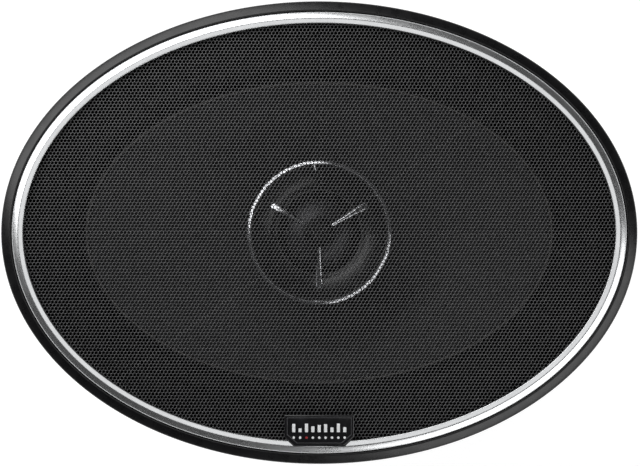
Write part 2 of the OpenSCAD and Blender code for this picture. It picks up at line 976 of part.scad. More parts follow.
module tweeter_magnet() {
    color([0.7, 0.71, 0.73])
        translate([0, 0, motor_z + motor_floor])
            cylinder(r = tw_magnet_r, h = tw_plate_z - motor_z - motor_floor);
}

module tweeter_plate() {
    color([0.6, 0.6, 0.58])
        translate([0, 0, tw_plate_z])
            cylinder(r = tw_plate_r, h = motor_top_z - tw_plate_z);
}

module tweeter_surround() {
    steps = 10;
    inner = dome_r + 0.2;
    outer = 15.9;
    mid = (inner + outer) / 2;
    half = (outer - inner) / 2;
    rise = 1.1;
    t = 0.25;
    over = [for (k = [0 : steps]) [mid - half * cos(k * 180 / steps), 6 + rise * sin(k * 180 / steps)]];
    under = [for (k = [steps : -1 : 0])
        [mid - (half - t) * cos(k * 180 / steps), 6 - t + rise * sin(k * 180 / steps)]];
    color([0.12, 0.12, 0.13])
        rotate_extrude()
            polygon(concat(over, [[ledge_r - seam, 6], [ledge_r - seam, ledge_z], [outer, ledge_z]], under));
}

module tweeter_dome() {
    steps = 12;
    ball = (dome_r * dome_r + dome_h * dome_h) / (2 * dome_h);
    top = [for (k = [0 : steps])
        let (r = dome_r * k / steps)
        [r, dome_z + dome_h - ball + sqrt(ball * ball - r * r)]];
    low = [for (k = [steps : -1 : 0])
        let (r = (dome_r - dome_t) * k / steps)
        [r, dome_z + dome_h - dome_t - ball + sqrt(ball * ball - r * r)]];
    color([0.3, 0.3, 0.32])
        rotate_extrude()
            polygon(concat(top, [[dome_r, dome_z - skirt_h], [tw_coil_r, dome_z - skirt_h]], low));
}

module tweeter_coil() {
    color([0.72, 0.36, 0.16])
        translate([0, 0, tw_coil_z])
            difference() {
                cylinder(r = dome_r, h = dome_z - skirt_h - tw_coil_z);
                translate([0, 0, -seam])
                    cylinder(r = tw_coil_r, h = dome_z);
            }
}

module tweeter_leads() {
    bottom_z = back_top_z + back_t;
    color([0.6, 0.08, 0.08])
        for (s = [-1, 1])
            translate([s * lead_x, 0, bottom_z])
                cylinder(r = lead_r, h = motor_z - bottom_z - seam, $fn = 24);
}

// ---- terminals and crossover ----

module terminal_board() {
    color([0.3, 0.18, 0.1])
        difference() {
            translate([-board_w / 2, board_y, board_z])
                cube([board_w, board_d, board_t]);
            for (x = [-blade_x, blade_x])
                translate([x, blade_rivet_y, board_z - seam])
                    cylinder(r = small_hole_r, h = board_t + 2 * seam, $fn = 48);
            translate([0, blade_rivet_y + 1, board_z - seam])
                cylinder(r = small_hole_r, h = board_t + 2 * seam, $fn = 48);
        }
}

// A flat terminal blade with a locking hole and a rivet hole.
module blade(x, w) {
    lock_r = 0.8;
    lock_y = 4;
    difference() {
        translate([x - w / 2, blade_y, blade_z])
            cube([w, blade_d, blade_t]);
        translate([x, blade_y + lock_y, blade_z - seam])
            cylinder(r = lock_r, h = blade_t + 2 * seam, $fn = 48);
        translate([x, blade_rivet_y, blade_z - seam])
            cylinder(r = small_hole_r, h = blade_t + 2 * seam, $fn = 48);
    }
}

module terminal_positive() {
    color([0.78, 0.74, 0.6])
        blade(-blade_x, blade_pos_w);
}

module terminal_negative() {
    color([0.8, 0.8, 0.82])
        blade(blade_x, blade_neg_w);
}

// A headed rivet between two heights.
module small_rivet(x, y, z0, z1) {
    translate([x, y, z0 - small_head_t])
        cylinder(r = small_head_r, h = small_head_t, $fn = 48);
    translate([x, y, z0 - small_head_t])
        cylinder(r = small_rivet_r, h = z1 - z0 + 2 * small_head_t, $fn = 48);
    translate([x, y, z1])
        cylinder(r = small_head_r, h = small_head_t, $fn = 48);
}

module terminal_rivets() {
    color([0.75, 0.75, 0.76]) {
        small_rivet(-blade_x, blade_rivet_y, blade_z, board_top_z);
        small_rivet(blade_x, blade_rivet_y, blade_z, board_top_z);
        small_rivet(0, blade_rivet_y + 1, board_z, tab_z + sheet_t);
    }
}

module capacitor() {
    bevel = 0.8;
    color([0.1, 0.14, 0.3])
        translate([-cap_l / 2, cap_y, cap_z])
            rotate([0, 90, 0])
                rotate_extrude()
                    polygon([
                        [0, 0],
                        [cap_r - bevel, 0],
                        [cap_r, bevel],
                        [cap_r, cap_l - bevel],
                        [cap_r - bevel, cap_l],
                        [0, cap_l]
                    ]);
}

module capacitor_strap() {
    foot = 0.5;
    color([0.85, 0.85, 0.82])
        difference() {
            union() {
                translate([-strap_w / 2, cap_y, cap_z])
                    rotate([0, 90, 0])
                        cylinder(r = cap_r + strap_t, h = strap_w);
                translate([-strap_w / 2, cap_y - strap_w / 2, board_z - foot])
                    cube([strap_w, strap_w, foot]);
            }
            translate([-strap_w, cap_y, cap_z])
                rotate([0, 90, 0])
                    cylinder(r = cap_r + seam / 2, h = strap_w * 2);
        }
}

module capacitor_leads() {
    end_x = cap_l / 2 + wire_r;
    bend_x = blade_x + 2;
    color([0.8, 0.8, 0.82]) {
        wire([
            [-end_x, cap_y, cap_z],
            [-bend_x, cap_y, cap_z],
            [-bend_x, cap_y - 3, cap_z + 1.5],
            [-blade_x, blade_rivet_y + 3.2, blade_z - wire_r - seam]
        ], wire_r, [0, 0.4, 1]);
        wire([
            [end_x, cap_y, cap_z],
            [bend_x + 1, cap_y, cap_z],
            [bend_x + 2, cap_y + 1, board_z - wire_r - seam]
        ], wire_r, [0, 1, 0]);
    }
}

grille_mesh();
trim_ring();
accent_ring();
badge_plate();
badge_emblem();
badge_push_nuts();
grille_clips();
grille_base_ring();
front_gasket();
rear_gasket();
basket();
surround();
cone();
cone_collar();
voice_coil_former();
voice_coil();
spider();
tinsel_leads();
top_plate();
magnet();
yoke();
basket_rivets();
magnet_boot();
post_screw();
tweeter_post();
pod_housing();
tweeter_faceplate();
pod_bezel();
diffuser();
tweeter_cup();
tweeter_magnet();
tweeter_plate();
tweeter_surround();
tweeter_dome();
tweeter_coil();
tweeter_leads();
terminal_board();
terminal_positive();
terminal_negative();
terminal_rivets();
capacitor();
capacitor_strap();
capacitor_leads();
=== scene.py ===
import math

import bmesh
import bpy
import numpy as np
from mathutils import Matrix, Vector


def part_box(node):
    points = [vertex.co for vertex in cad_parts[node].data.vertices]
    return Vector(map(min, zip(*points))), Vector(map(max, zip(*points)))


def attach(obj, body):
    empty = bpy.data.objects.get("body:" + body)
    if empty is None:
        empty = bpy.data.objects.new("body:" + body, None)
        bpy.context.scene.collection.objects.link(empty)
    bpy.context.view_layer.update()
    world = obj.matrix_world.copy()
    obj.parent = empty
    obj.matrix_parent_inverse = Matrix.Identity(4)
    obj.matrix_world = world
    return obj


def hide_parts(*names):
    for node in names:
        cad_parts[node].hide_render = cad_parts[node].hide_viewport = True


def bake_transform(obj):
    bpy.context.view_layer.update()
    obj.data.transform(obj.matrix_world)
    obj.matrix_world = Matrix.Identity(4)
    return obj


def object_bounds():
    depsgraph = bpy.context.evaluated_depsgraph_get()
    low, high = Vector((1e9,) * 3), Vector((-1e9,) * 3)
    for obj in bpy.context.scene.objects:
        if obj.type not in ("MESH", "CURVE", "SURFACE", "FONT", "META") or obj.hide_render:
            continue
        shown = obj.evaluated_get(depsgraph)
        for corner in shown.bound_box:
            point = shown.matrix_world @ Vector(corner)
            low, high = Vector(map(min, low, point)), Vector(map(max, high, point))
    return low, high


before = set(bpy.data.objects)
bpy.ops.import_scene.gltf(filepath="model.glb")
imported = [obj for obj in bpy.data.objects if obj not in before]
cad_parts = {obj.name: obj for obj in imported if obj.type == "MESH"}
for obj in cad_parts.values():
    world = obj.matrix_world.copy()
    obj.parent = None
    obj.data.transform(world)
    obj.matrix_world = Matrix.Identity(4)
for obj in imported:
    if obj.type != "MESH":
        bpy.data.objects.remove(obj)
cad_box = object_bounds()

# Millimetres everywhere until a mesh is written; MM turns them into metres.
MM = 0.001
STATIONS = 360
# Clearance between pieces that meet.
GAP = 0.02


# ---- measures from the frame ----

def span(node):
    """Lowest and highest corner of a CAD node, in millimetres."""
    low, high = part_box(node)
    return np.array(low) / MM, np.array(high) / MM


trim_low, trim_high = span("trim_ring")
accent_high = span("accent_ring")[1]
mesh_low, mesh_high = span("grille_mesh")
surround_low, surround_high = span("surround")
gasket_low, gasket_high = span("front_gasket")
boot_low, boot_high = span("magnet_boot")
bezel_low, bezel_high = span("pod_bezel")
dome_high = span("tweeter_dome")[1]
spider_low, spider_high = span("spider")

HALF_W, HALF_H = trim_high[0], trim_high[1]

# Offsets inwards from the grille's rim.
ACCENT_OUT, ACCENT_CREST, ACCENT_IN = 4.2, 6.7, 8.7
MESH_EDGE = HALF_W - mesh_high[0]
MESH_T = 0.6
WEB_T = 0.4
CHANNEL_Z = mesh_low[2]
MESH_EDGE_Z = CHANNEL_Z + MESH_T
MESH_RISE = mesh_high[2] - MESH_EDGE_Z

# Offsets outwards from the cone's visible edge.
LIP_OUT, ROLL_OUT, ROLL_IN = 18.4, 12.7, 3.0
CONE_A, CONE_B = surround_high[0] - LIP_OUT, surround_high[1] - LIP_OUT
DECK_Z = surround_low[2]
SHEET_T = 1.2

# The neck and the coil's former.
NECK_Z, NECK_R, CONE_T = -20.0, 15.4, 0.8
FLARE = 0.85
FORMER_R, FORMER_T = 13.0, 0.2
TINSEL_R = 0.68

# The badge: outline, place, tilt in degrees, and its pins.
BADGE_W, BADGE_H, BADGE_T = 27.2, 12.2, 1.4
BADGE_FOOT, BADGE_STEP = 19.4, 3.4
BADGE_Y, BADGE_Z, BADGE_TILT = 77.3, 11.35, 12.0
PIN_X, PIN_Y, PIN_Z, PIN_R, PIN_H = 9, 76, 8.6, 1.0, 4.0

# The mesh: round holes in level hexagonal rows.
HOLE_PITCH = 1.435
HOLE_R = 0.615
MESH_SECTORS = 8

# The basket: spider shelf, cup, spokes, screws, and the wall from the flange down to the shelf.
SHELF_Z, CUP_Z, CUP_R, SHELF_R, CUP_HOLE, VENT_R = -29.0, -44.0, 46.0, 53.0, 16.0, 3.5
SPOKES = 8
SCREW_X, SCREW_Y, SCREW_R, EAR_R = 91.0, 51.0, 2.4, 6.0
WALL = [
    (CONE_A + 14.5, CONE_B + 14.5, DECK_Z),
    (CONE_A + 13.7, CONE_B + 13.7, -5.0),
    (92.0, 66.0, -13.5),
    (75.0, 60.0, -21.0),
    (57.0, 55.0, -27.5),
    (52.4, 52.4, -30.1),
]

# How far the diffuser's arms drop from hub to flare.
ARM_FALL = 4.2

# The picture: width that the view takes in, the point it is centred on, and the glow of paper and room.
VIEW_W = 251.93
AIM_X, AIM_Y = 0.295, -0.157
LENS, SENSOR = 500.0, 36.0
FLOOR_GLOW, WORLD_GLOW = 0.86, 0.03


def grille_row(d, z):
    """Half axes and height of an oval that runs d inside the grille's rim."""
    return HALF_W - d, HALF_H - d, z


def driver_row(w, z):
    """Half axes and height of an oval that runs w outside the cone's visible edge."""
    return CONE_A + w, CONE_B + w, z


def round_row(r, z):
    """Half axes and height of a circle."""
    return r, r, z


# ---- mesh tools ----

def mesh_from(name, points, face_sets):
    """A mesh from points in millimetres and arrays of faces, one array for each number of corners."""
    mesh = bpy.data.meshes.new(name)
    points = np.asarray(points, float) * MM
    mesh.vertices.add(len(points))
    mesh.vertices.foreach_set("co", points.astype(np.float32).ravel())
    loops = np.concatenate([f.ravel() for f in face_sets])
    sizes = np.concatenate([np.full(len(f), f.shape[1]) for f in face_sets])
    starts = np.concatenate([[0], np.cumsum(sizes)[:-1]])
    mesh.loops.add(len(loops))
    mesh.loops.foreach_set("vertex_index", loops.astype(np.int32))
    mesh.polygons.add(len(sizes))
    mesh.polygons.foreach_set("loop_start", starts.astype(np.int32))
    mesh.update(calc_edges=True)
    mesh.validate()
    return mesh


def tidy(mesh, weld=0.0):
    """Welds coincident points and turns every face outwards."""
    work = bmesh.new()
    work.from_mesh(mesh)
    if weld:
        bmesh.ops.remove_doubles(work, verts=work.verts, dist=weld * MM)
    bmesh.ops.recalc_face_normals(work, faces=work.faces)
    work.to_mesh(mesh)
    work.free()


def piece(mesh, material, body, replaces=(), smooth=35):
    """An object of the visual model that rides on a body and stands for some CAD nodes."""
    if smooth:
        mesh.shade_smooth()
        mesh.set_sharp_from_angle(angle=math.radians(smooth))
    mesh.materials.append(material)
    obj = bpy.data.objects.new(mesh.name, mesh)
    bpy.context.scene.collection.objects.link(obj)
    if body:
        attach(obj, body)
    if replaces:
        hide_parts(*replaces)
    return obj


def rounded(corners, steps=4, closed=True):
    """A profile with its corners rounded. Each corner is (x, z, radius)."""
    out = []
    n = len(corners)
    for k, (x, z, radius) in enumerate(corners):
        here = np.array((x, z), float)
        end = not closed and k in (0, n - 1)
        if end or not radius:
            out.append(here)
            continue
        before = np.array(corners[k - 1][:2], float) - here
        after = np.array(corners[(k + 1) % n][:2], float) - here
        reach = [min(radius, 0.48 * np.linalg.norm(v)) for v in (before, after)]
        start = here + before / np.linalg.norm(before) * reach[0]
        stop = here + after / np.linalg.norm(after) * reach[1]
        for u in np.linspace(0, 1, steps + 1):
            out.append((1 - u) ** 2 * start + 2 * u * (1 - u) * here + u ** 2 * stop)
    return out


def ring_faces(rows, stations, closed):
    """Quads between neighbouring rows of a ring, all the way round."""
    j = np.arange(rows if closed else rows - 1)[:, None]
    i = np.arange(stations)[None, :]
    k, n = (j + 1) % rows, (i + 1) % stations
    corners = [j * stations + i, j * stations + n, k * stations + n, k * stations + i]
    return np.stack(corners, -1).reshape(-1, 4)


def loft(name, rows, stations=STATIONS, closed=True):
    """Rows of (half length, half height, z) swept round the oval."""
    rows = np.array(rows, float)
    t = np.linspace(0, 2 * math.pi, stations, endpoint=False)
    points = np.stack([rows[:, :1] * np.cos(t), rows[:, 1:2] * np.sin(t), rows[:, 2:] + 0 * t], -1)
    mesh = mesh_from(name, points.reshape(-1, 3), [ring_faces(len(rows), stations, closed)])
    tidy(mesh, weld=0.002)
    return mesh


def oval(name, corners, row, steps=4, stations=STATIONS):
    """A closed profile of (offset, z, radius) corners, swept round one of the two oval families."""
    return loft(name, [row(x, z) for x, z in rounded(corners, steps)], stations)


def spun(name, corners, steps=5, stations=240, closed=True):
    """A profile of (radius, z, corner radius) spun round the sound axis."""
    return loft(name, [round_row(r, z) for r, z in rounded(corners, steps, closed)], stations, closed)


def prism(name, outline, low, high, bevel=0.0, segments=3):
    """An outline in XY raised from low to high, with its edges rounded."""
    work = bmesh.new()
    face = work.faces.new([work.verts.new((x * MM, y * MM, low * MM)) for x, y in outline])
    raised = bmesh.ops.extrude_face_region(work, geom=[face])
    moved = [v for v in raised["geom"] if isinstance(v, bmesh.types.BMVert)]
    bmesh.ops.translate(work, verts=moved, vec=(0, 0, (high - low) * MM))
    bmesh.ops.recalc_face_normals(work, faces=work.faces)
    if bevel:
        bmesh.ops.bevel(
            work, geom=work.edges[:], offset=bevel * MM, segments=segments,
            profile=0.5, affect="EDGES", clamp_overlap=True,
        )
    mesh = bpy.data.meshes.new(name)
    work.to_mesh(mesh)
    work.free()
    return mesh


def joined(name, meshes):
    """Several meshes as one."""
    work = bmesh.new()
    for mesh in meshes:
        work.from_mesh(mesh)
        bpy.data.meshes.remove(mesh)
    out = bpy.data.meshes.new(name)
    work.to_mesh(out)
    work.free()
    return out


def turned(mesh, angle=0.0, move=(0, 0, 0), tilt=0.0):
    """A mesh tilted about X, turned about Z in degrees, then moved in millimetres."""
    turn = Matrix.Rotation(math.radians(angle), 4, "Z") @ Matrix.Rotation(math.radians(tilt), 4, "X")
    mesh.transform(Matrix.Translation(Vector(move) * MM) @ turn)
    return mesh


def circle(r, sides, x=0.0, y=0.0):
    """A round outline."""
    angles = np.linspace(0, 2 * math.pi, sides, endpoint=False)
    return [(x + r * math.cos(a), y + r * math.sin(a)) for a in angles]


def carved(mesh, cutter):
    """A mesh with a cutter taken out of it."""
    body = bpy.data.objects.new("body", mesh)
    tool = bpy.data.objects.new("tool", cutter)
    for o in (body, tool):
        bpy.context.scene.collection.objects.link(o)
    cut = body.modifiers.new("cut", "BOOLEAN")
    cut.operation = "DIFFERENCE"
    cut.solver = "EXACT"
    cut.object = tool
    graph = bpy.context.evaluated_depsgraph_get()
    out = bpy.data.meshes.new_from_object(body.evaluated_get(graph))
    out.name = mesh.name
    for o in (body, tool):
        bpy.data.objects.remove(o)
    return out


# ---- materials ----

# Length of one period of Blender's wave texture at scale 1.
WAVE = 0.314


class Surface:
    """A Principled material that is built up in layers of procedural detail."""

    def __init__(self, name, color, rough, metallic=0.0, specular=0.5, coat=0.0, sheen=0.0):
        self.material = bpy.data.materials.new(name)
        self.material.use_nodes = True
        self.tree = self.material.node_tree
        self.shader = self.tree.nodes["Principled BSDF"]
        self.color = (*color, 1.0)
        for socket, value in {
            "Base Color": self.color,
            "Roughness": rough,
            "Metallic": metallic,
            "Specular IOR Level": specular,
            "Coat Weight": coat,
            "Sheen Weight": sheen,
        }.items():
            self.shader.inputs[socket].default_value = value
        self.bumps = None
        self.where = self.tree.nodes.new("ShaderNodeTexCoord").outputs["Object"]

    def node(self, kind, inputs=None, **settings):
        made = self.tree.nodes.new(kind)
        for key, value in settings.items():
            setattr(made, key, value)
        for key, value in (inputs or {}).items():
            if isinstance(value, bpy.types.NodeSocket):
                self.tree.links.new(value, made.inputs[key])
            else:
                made.inputs[key].default_value = value
        return made

    def noise(self, size, detail=4.0, rough=0.55, stretch=None, distortion=0.0):
        """Noise whose features are about size millimetres across."""
        vector = self.where
        if stretch:
            vector = self.node("ShaderNodeMapping", {"Vector": vector, "Scale": stretch}).outputs["Vector"]
        inputs = {
            "Vector": vector,
            "Scale": 1 / (size * MM),
            "Detail": detail,
            "Roughness": rough,
            "Distortion": distortion,
        }
        return self.node("ShaderNodeTexNoise", inputs).outputs["Fac"]

    def cells(self, size):
        inputs = {"Vector": self.where, "Scale": 1 / (size * MM)}
        return self.node("ShaderNodeTexVoronoi", inputs).outputs["Distance"]

    def rings(self, size, axis="Z", distortion=0.4):
        """Circular bands round the axis, size millimetres apart."""
        inputs = {"Vector": self.where, "Scale": WAVE / (size * MM), "Distortion": distortion, "Detail": 2.0}
        return self.node("ShaderNodeTexWave", inputs, wave_type="RINGS", rings_direction=axis).outputs["Fac"]

    def bands(self, size, axis="X", distortion=0.0):
        inputs = {"Vector": self.where, "Scale": WAVE / (size * MM), "Distortion": distortion}
        return self.node("ShaderNodeTexWave", inputs, wave_type="BANDS", bands_direction=axis).outputs["Fac"]

    def ramp(self, fac, low, high, out_low=0.0, out_high=1.0):
        inputs = {"Value": fac, "From Min": low, "From Max": high, "To Min": out_low, "To Max": out_high}
        return self.node("ShaderNodeMapRange", inputs).outputs["Result"]

    def tint(self, fac, color):
        """Mixes another colour in by a factor."""
        source = self.shader.inputs["Base Color"]
        below = source.links[0].from_socket if source.links else self.color
        mix = self.node("ShaderNodeMix", data_type="RGBA")
        pairs = ((mix.inputs[0], fac), (mix.inputs[6], below), (mix.inputs[7], (*color, 1.0)))
        for socket, value in pairs:
            if isinstance(value, bpy.types.NodeSocket):
                self.tree.links.new(value, socket)
            else:
                socket.default_value = value
        self.tree.links.new(mix.outputs[2], source)
        return self

    def drive(self, socket, fac):
        self.tree.links.new(fac, self.shader.inputs[socket])
        return self

    def bump(self, height, depth, strength=1.0):
        """Raises the surface by depth millimetres where height is 1."""
        inputs = {"Height": height, "Distance": depth * MM, "Strength": strength}
        if self.bumps:
            inputs["Normal"] = self.bumps
        self.bumps = self.node("ShaderNodeBump", inputs).outputs["Normal"]
        self.tree.links.new(self.bumps, self.shader.inputs["Normal"])
        return self


def worn(surface, size, low, high):
    """Roughness that wanders between two values."""
    return surface.drive("Roughness", surface.ramp(surface.noise(size), 0.3, 0.7, low, high))


def powder_coat():
    """Semi-gloss black powder coat, slightly uneven."""
    s = Surface("powder_coat_black", (0.03, 0.0302, 0.032), 0.36, specular=0.8)
    s.tint(s.ramp(s.noise(4), 0.4, 0.7), (0.04, 0.0402, 0.0428))
    return worn(s, 6, 0.3, 0.38).material


# The default colour, about 0.004, is far darker than real black plastic. It is painted shade that stands in
# for shade the studio lamps don't give.
def moulded_black(name="moulded_black", color=(0.004, 0.004, 0.0045), low=0.24, high=0.32, specular=0.42):
    """Satin moulded plastic with a fine spark-eroded grain."""
    s = Surface(name, color, low, specular=specular)
    s.tint(s.ramp(s.noise(9), 0.45, 0.75), tuple(c * 1.5 for c in color))
    s.bump(s.noise(1.1, detail=5, rough=0.7), 0.01, 0.5)
    return worn(s, 5, low, high).material


def silver_paint():
    """Satin silver lacquer: fine flake under a soft clear coat."""
    s = Surface("satin_silver_paint", (0.7, 0.71, 0.72), 0.25, metallic=0.95)
    s.tint(s.ramp(s.noise(1.3, detail=6, rough=0.75), 0.45, 0.65), (0.74, 0.75, 0.76))
    s.bump(s.noise(6, detail=2), 0.006, 0.3)
    return worn(s, 12, 0.25, 0.3).material


def gloss_black():
    """Gloss black lacquer on the badge."""
    s = Surface("gloss_black", (0.008, 0.008, 0.009), 0.14, coat=0.5)
    s.tint(s.ramp(s.noise(3), 0.5, 0.8), (0.014, 0.014, 0.016))
    s.bump(s.noise(1.6, detail=1), 0.006, 0.3)
    return worn(s, 4, 0.1, 0.2).material


def bright_plating():
    """Bright plating: mirror-like, with the faintest orange peel."""
    s = Surface("bright_plating", (0.8, 0.81, 0.83), 0.16, metallic=1.0)
    s.tint(s.ramp(s.noise(2.5), 0.4, 0.75), (0.7, 0.71, 0.74))
    s.bump(s.noise(1.2, detail=2), 0.004, 0.3)
    return worn(s, 3, 0.13, 0.2).material


def light_ink(name, color):
    """Raised print with a faintly uneven film."""
    s = Surface(name, color, 0.35)
    s.tint(s.ramp(s.noise(0.7), 0.5, 0.8), tuple(c * 0.85 for c in color))
    return worn(s, 2, 0.3, 0.45).material


def cone_pulp():
    """Mineral-filled pulp: short fibres pressed flat, slightly mottled."""
    s = Surface("cone_pulp", (0.017, 0.0173, 0.018), 0.55, specular=0.3)
    s.tint(s.ramp(s.noise(14, detail=3), 0.35, 0.7), (0.024, 0.0243, 0.0252))
    fibres = s.noise(0.9, detail=5, rough=0.7, distortion=1.5)
    s.tint(s.ramp(fibres, 0.52, 0.72), (0.042, 0.042, 0.0435))
    s.bump(fibres, 0.04, 0.5)
    return worn(s, 3, 0.5, 0.7).material


# The default colour, 0.0022, is far darker than real rubber. It is painted shade for the surrounds under the
# grille, standing in for shade the studio lamps don't give.
def butyl_rubber(name="butyl_rubber", color=(0.0022, 0.0022, 0.0024)):
    """Matt rubber with a bloom that comes and goes."""
    s = Surface(name, color, 0.5, specular=0.06)
    s.tint(s.ramp(s.noise(7), 0.4, 0.75), tuple(c * 1.45 for c in color))
    s.bump(s.noise(0.5, detail=3), 0.02, 0.5)
    return worn(s, 5, 0.42, 0.6).material


def foam():
    """Closed-cell foam, its cells half a millimetre across."""
    # The base colour, 0.002, is far darker than real foam. It is painted shade standing in for shade the
    # studio lamps don't give.
    s = Surface("closed_cell_foam", (0.002, 0.002, 0.0022), 0.9, specular=0.04)
    # Darker in the cell pits that the bump sinks, lighter on the raised cell walls: painted shade in the
    # pits.
    s.tint(s.ramp(s.cells(0.55), 0.1, 0.5), (0.005, 0.005, 0.0052))
    s.bump(s.cells(0.55), 0.12, 0.8)
    return worn(s, 2, 0.8, 0.95).material


def painted_steel():
    """Satin black enamel over stamped sheet, with faint orange peel."""
    s = Surface("satin_black_enamel", (0.021, 0.021, 0.0225), 0.36, coat=0.2)
    s.tint(s.ramp(s.noise(18), 0.45, 0.75), (0.03, 0.03, 0.0325))
    s.bump(s.noise(0.9, detail=2), 0.02, 0.35)
    return worn(s, 7, 0.28, 0.45).material


def zinc(name="zinc_plate", color=(0.56, 0.57, 0.58), band=0.22):
    """Turned and zinc plated steel: fine tool rings with a cloudy passivation."""
    s = Surface(name, color, 0.34, metallic=1.0)
    s.tint(s.ramp(s.noise(6, detail=3), 0.4, 0.7), (0.68, 0.67, 0.6))
    s.tint(s.ramp(s.noise(22), 0.55, 0.75), (0.5, 0.54, 0.6))
    s.bump(s.rings(band), 0.004, 0.5)
    return worn(s, 3, 0.26, 0.46).material


def ferrite():
    """Sintered ferrite: dark grey, gritty, with rusty clouds."""
    s = Surface("sintered_ferrite", (0.05, 0.05, 0.053), 0.62, specular=0.45)
    s.tint(s.ramp(s.noise(0.6, detail=5), 0.5, 0.7), (0.085, 0.085, 0.09))
    s.tint(s.ramp(s.noise(10), 0.5, 0.8), (0.07, 0.066, 0.064))
    s.bump(s.noise(0.4, detail=5), 0.03, 0.6)
    return worn(s, 4, 0.5, 0.75).material


def damper_cloth():
    """Cotton cloth dipped in amber resin, woven about 0.7 mm."""
    s = Surface("resin_cloth", (0.5, 0.32, 0.1), 0.6, sheen=0.2)
    warp = s.bands(0.7, "X", 0.3)
    weft = s.bands(0.7, "Y", 0.3)
    weave = s.node("ShaderNodeMath", {0: warp, 1: weft}, operation="MULTIPLY").outputs[0]
    # Lighter where the threads cross and the bump rises: painted highlight on the raised weave.
    s.tint(s.ramp(weave, 0.1, 0.6), (0.68, 0.47, 0.2))
    s.tint(s.ramp(s.noise(8), 0.5, 0.8), (0.4, 0.24, 0.07))
    s.bump(weave, 0.12, 0.9)
    return worn(s, 3, 0.5, 0.75).material


def amber_film():
    """Wound film of the coil's former."""
    s = Surface("amber_film", (0.62, 0.27, 0.05), 0.25, coat=0.3)
    s.tint(s.ramp(s.noise(5), 0.4, 0.7), (0.5, 0.2, 0.035))
    s.bump(s.bands(0.5, "Z"), 0.006, 0.4)
    return worn(s, 3, 0.2, 0.35).material


def copper_wire():
    """Enamelled winding: turns of wire 0.28 mm thick."""
    s = Surface("enamelled_copper", (0.62, 0.24, 0.1), 0.25, metallic=1.0)
    turns = s.bands(0.28, "Z")
    # Darker copper in the grooves between turns, where the bump sinks: painted shade.
    s.tint(s.ramp(turns, 0.0, 0.35, 1.0, 0.0), (0.2, 0.06, 0.02))
    s.bump(turns, 0.1, 1.0)
    return worn(s, 2, 0.2, 0.35).material


def braid():
    """Braided tinsel cord."""
    s = Surface("tinsel_braid", (0.62, 0.42, 0.27), 0.45, metallic=0.35)
    strands = s.bands(0.5, "DIAGONAL")
    # Darker between the strands, where the bump sinks: painted shade.
    s.tint(s.ramp(strands, 0.0, 0.5, 1.0, 0.0), (0.32, 0.2, 0.12))
    s.bump(strands, 0.12, 1.0)
    return worn(s, 1, 0.35, 0.6).material


def resin():
    """Cured black adhesive, a little lumpy."""
    s = Surface("cured_resin", (0.03, 0.028, 0.026), 0.22, coat=0.3)
    s.tint(s.ramp(s.noise(1.5), 0.5, 0.8), (0.055, 0.05, 0.045))
    s.bump(s.noise(1.8, detail=2), 0.15, 0.7)
    return worn(s, 2, 0.15, 0.35).material


def board_laminate():
    """Phenolic paper board: brown, with fibres and a glossy skin."""
    s = Surface("phenolic_board", (0.14, 0.06, 0.026), 0.4, coat=0.2)
    s.tint(s.ramp(s.noise(1.2, detail=5, stretch=(1, 6, 6)), 0.45, 0.7), (0.22, 0.1, 0.045))
    s.bump(s.noise(0.5), 0.015, 0.4)
    return worn(s, 3, 0.3, 0.5).material


def film_sleeve(name, color):
    """Shrunk or moulded coloured plastic."""
    s = Surface(name, color, 0.3, coat=0.2)
    s.tint(s.ramp(s.noise(2.5), 0.45, 0.75), tuple(c * 1.6 for c in color))
    s.bump(s.noise(1.4, detail=2), 0.04, 0.5)
    return worn(s, 2, 0.24, 0.4).material


def dome_sheet():
    """Thin metallised film with a faint pressed sheen."""
    s = Surface("dome_film_silver", (0.03, 0.03, 0.033), 0.34, metallic=0.5)
    s.tint(s.ramp(s.noise(2.5), 0.4, 0.7), (0.045, 0.045, 0.05))
    s.bump(s.noise(0.5, detail=2), 0.01, 0.4)
    return worn(s, 2, 0.24, 0.38).material


def floor_paper():
    """Pale studio paper that glows enough to stay clean white behind the speaker."""
    s = Surface("studio_paper", (0.36, 0.36, 0.365), 0.8, specular=0.1)
    s.tint(s.ramp(s.noise(160, detail=2), 0.4, 0.7), (0.38, 0.38, 0.38))
    s.shader.inputs["Emission Color"].default_value = (1.0, 1.0, 1.0, 1.0)
    s.shader.inputs["Emission Strength"].default_value = FLOOR_GLOW
    return s.material


COAT = powder_coat()
MOULDED = moulded_black()
# POD_BLACK, FLARE_BLACK and FRAME_PLASTIC are far darker than real black plastic. They are painted shade for
# the space under the grille, standing in for shade the studio lamps don't give.
POD_BLACK = moulded_black("pod_black", (0.003, 0.003, 0.0033), 0.3, 0.4, 0.15)
FLARE_BLACK = moulded_black("flare_black", (0.006, 0.006, 0.0064), 0.2, 0.28, 0.7)
FRAME_PLASTIC = moulded_black("frame_plastic", (0.002, 0.002, 0.0021), 0.55, 0.7, 0.02)
BADGE_LINE = moulded_black("badge_line", (0.05, 0.05, 0.053), 0.3, 0.4)
SILVER = silver_paint()
GLOSS = gloss_black()
CHROME = bright_plating()
INK = light_ink("emblem_light", (0.82, 0.83, 0.84))
RED = light_ink("emblem_red", (0.33, 0.02, 0.025))
PULP = cone_pulp()
RUBBER = butyl_rubber()
BOOT_RUBBER = butyl_rubber("boot_rubber", (0.018, 0.018, 0.019))
FOAM = foam()
STEEL = painted_steel()
ZINC = zinc()
TIN = zinc("tin_plate", (0.72, 0.69, 0.6), 0.5)
NICKEL = zinc("nickel_plate", (0.66, 0.65, 0.63), 0.4)
FERRITE = ferrite()
CLOTH = damper_cloth()
DOME = dome_sheet()
FILM = amber_film()
COPPER = copper_wire()
BRAID = braid()
RESIN = resin()
BOARD = board_laminate()
BLUE_SLEEVE = film_sleeve("blue_sleeve", (0.02, 0.045, 0.16))
RED_SLEEVE = film_sleeve("red_sleeve", (0.3, 0.012, 0.012))
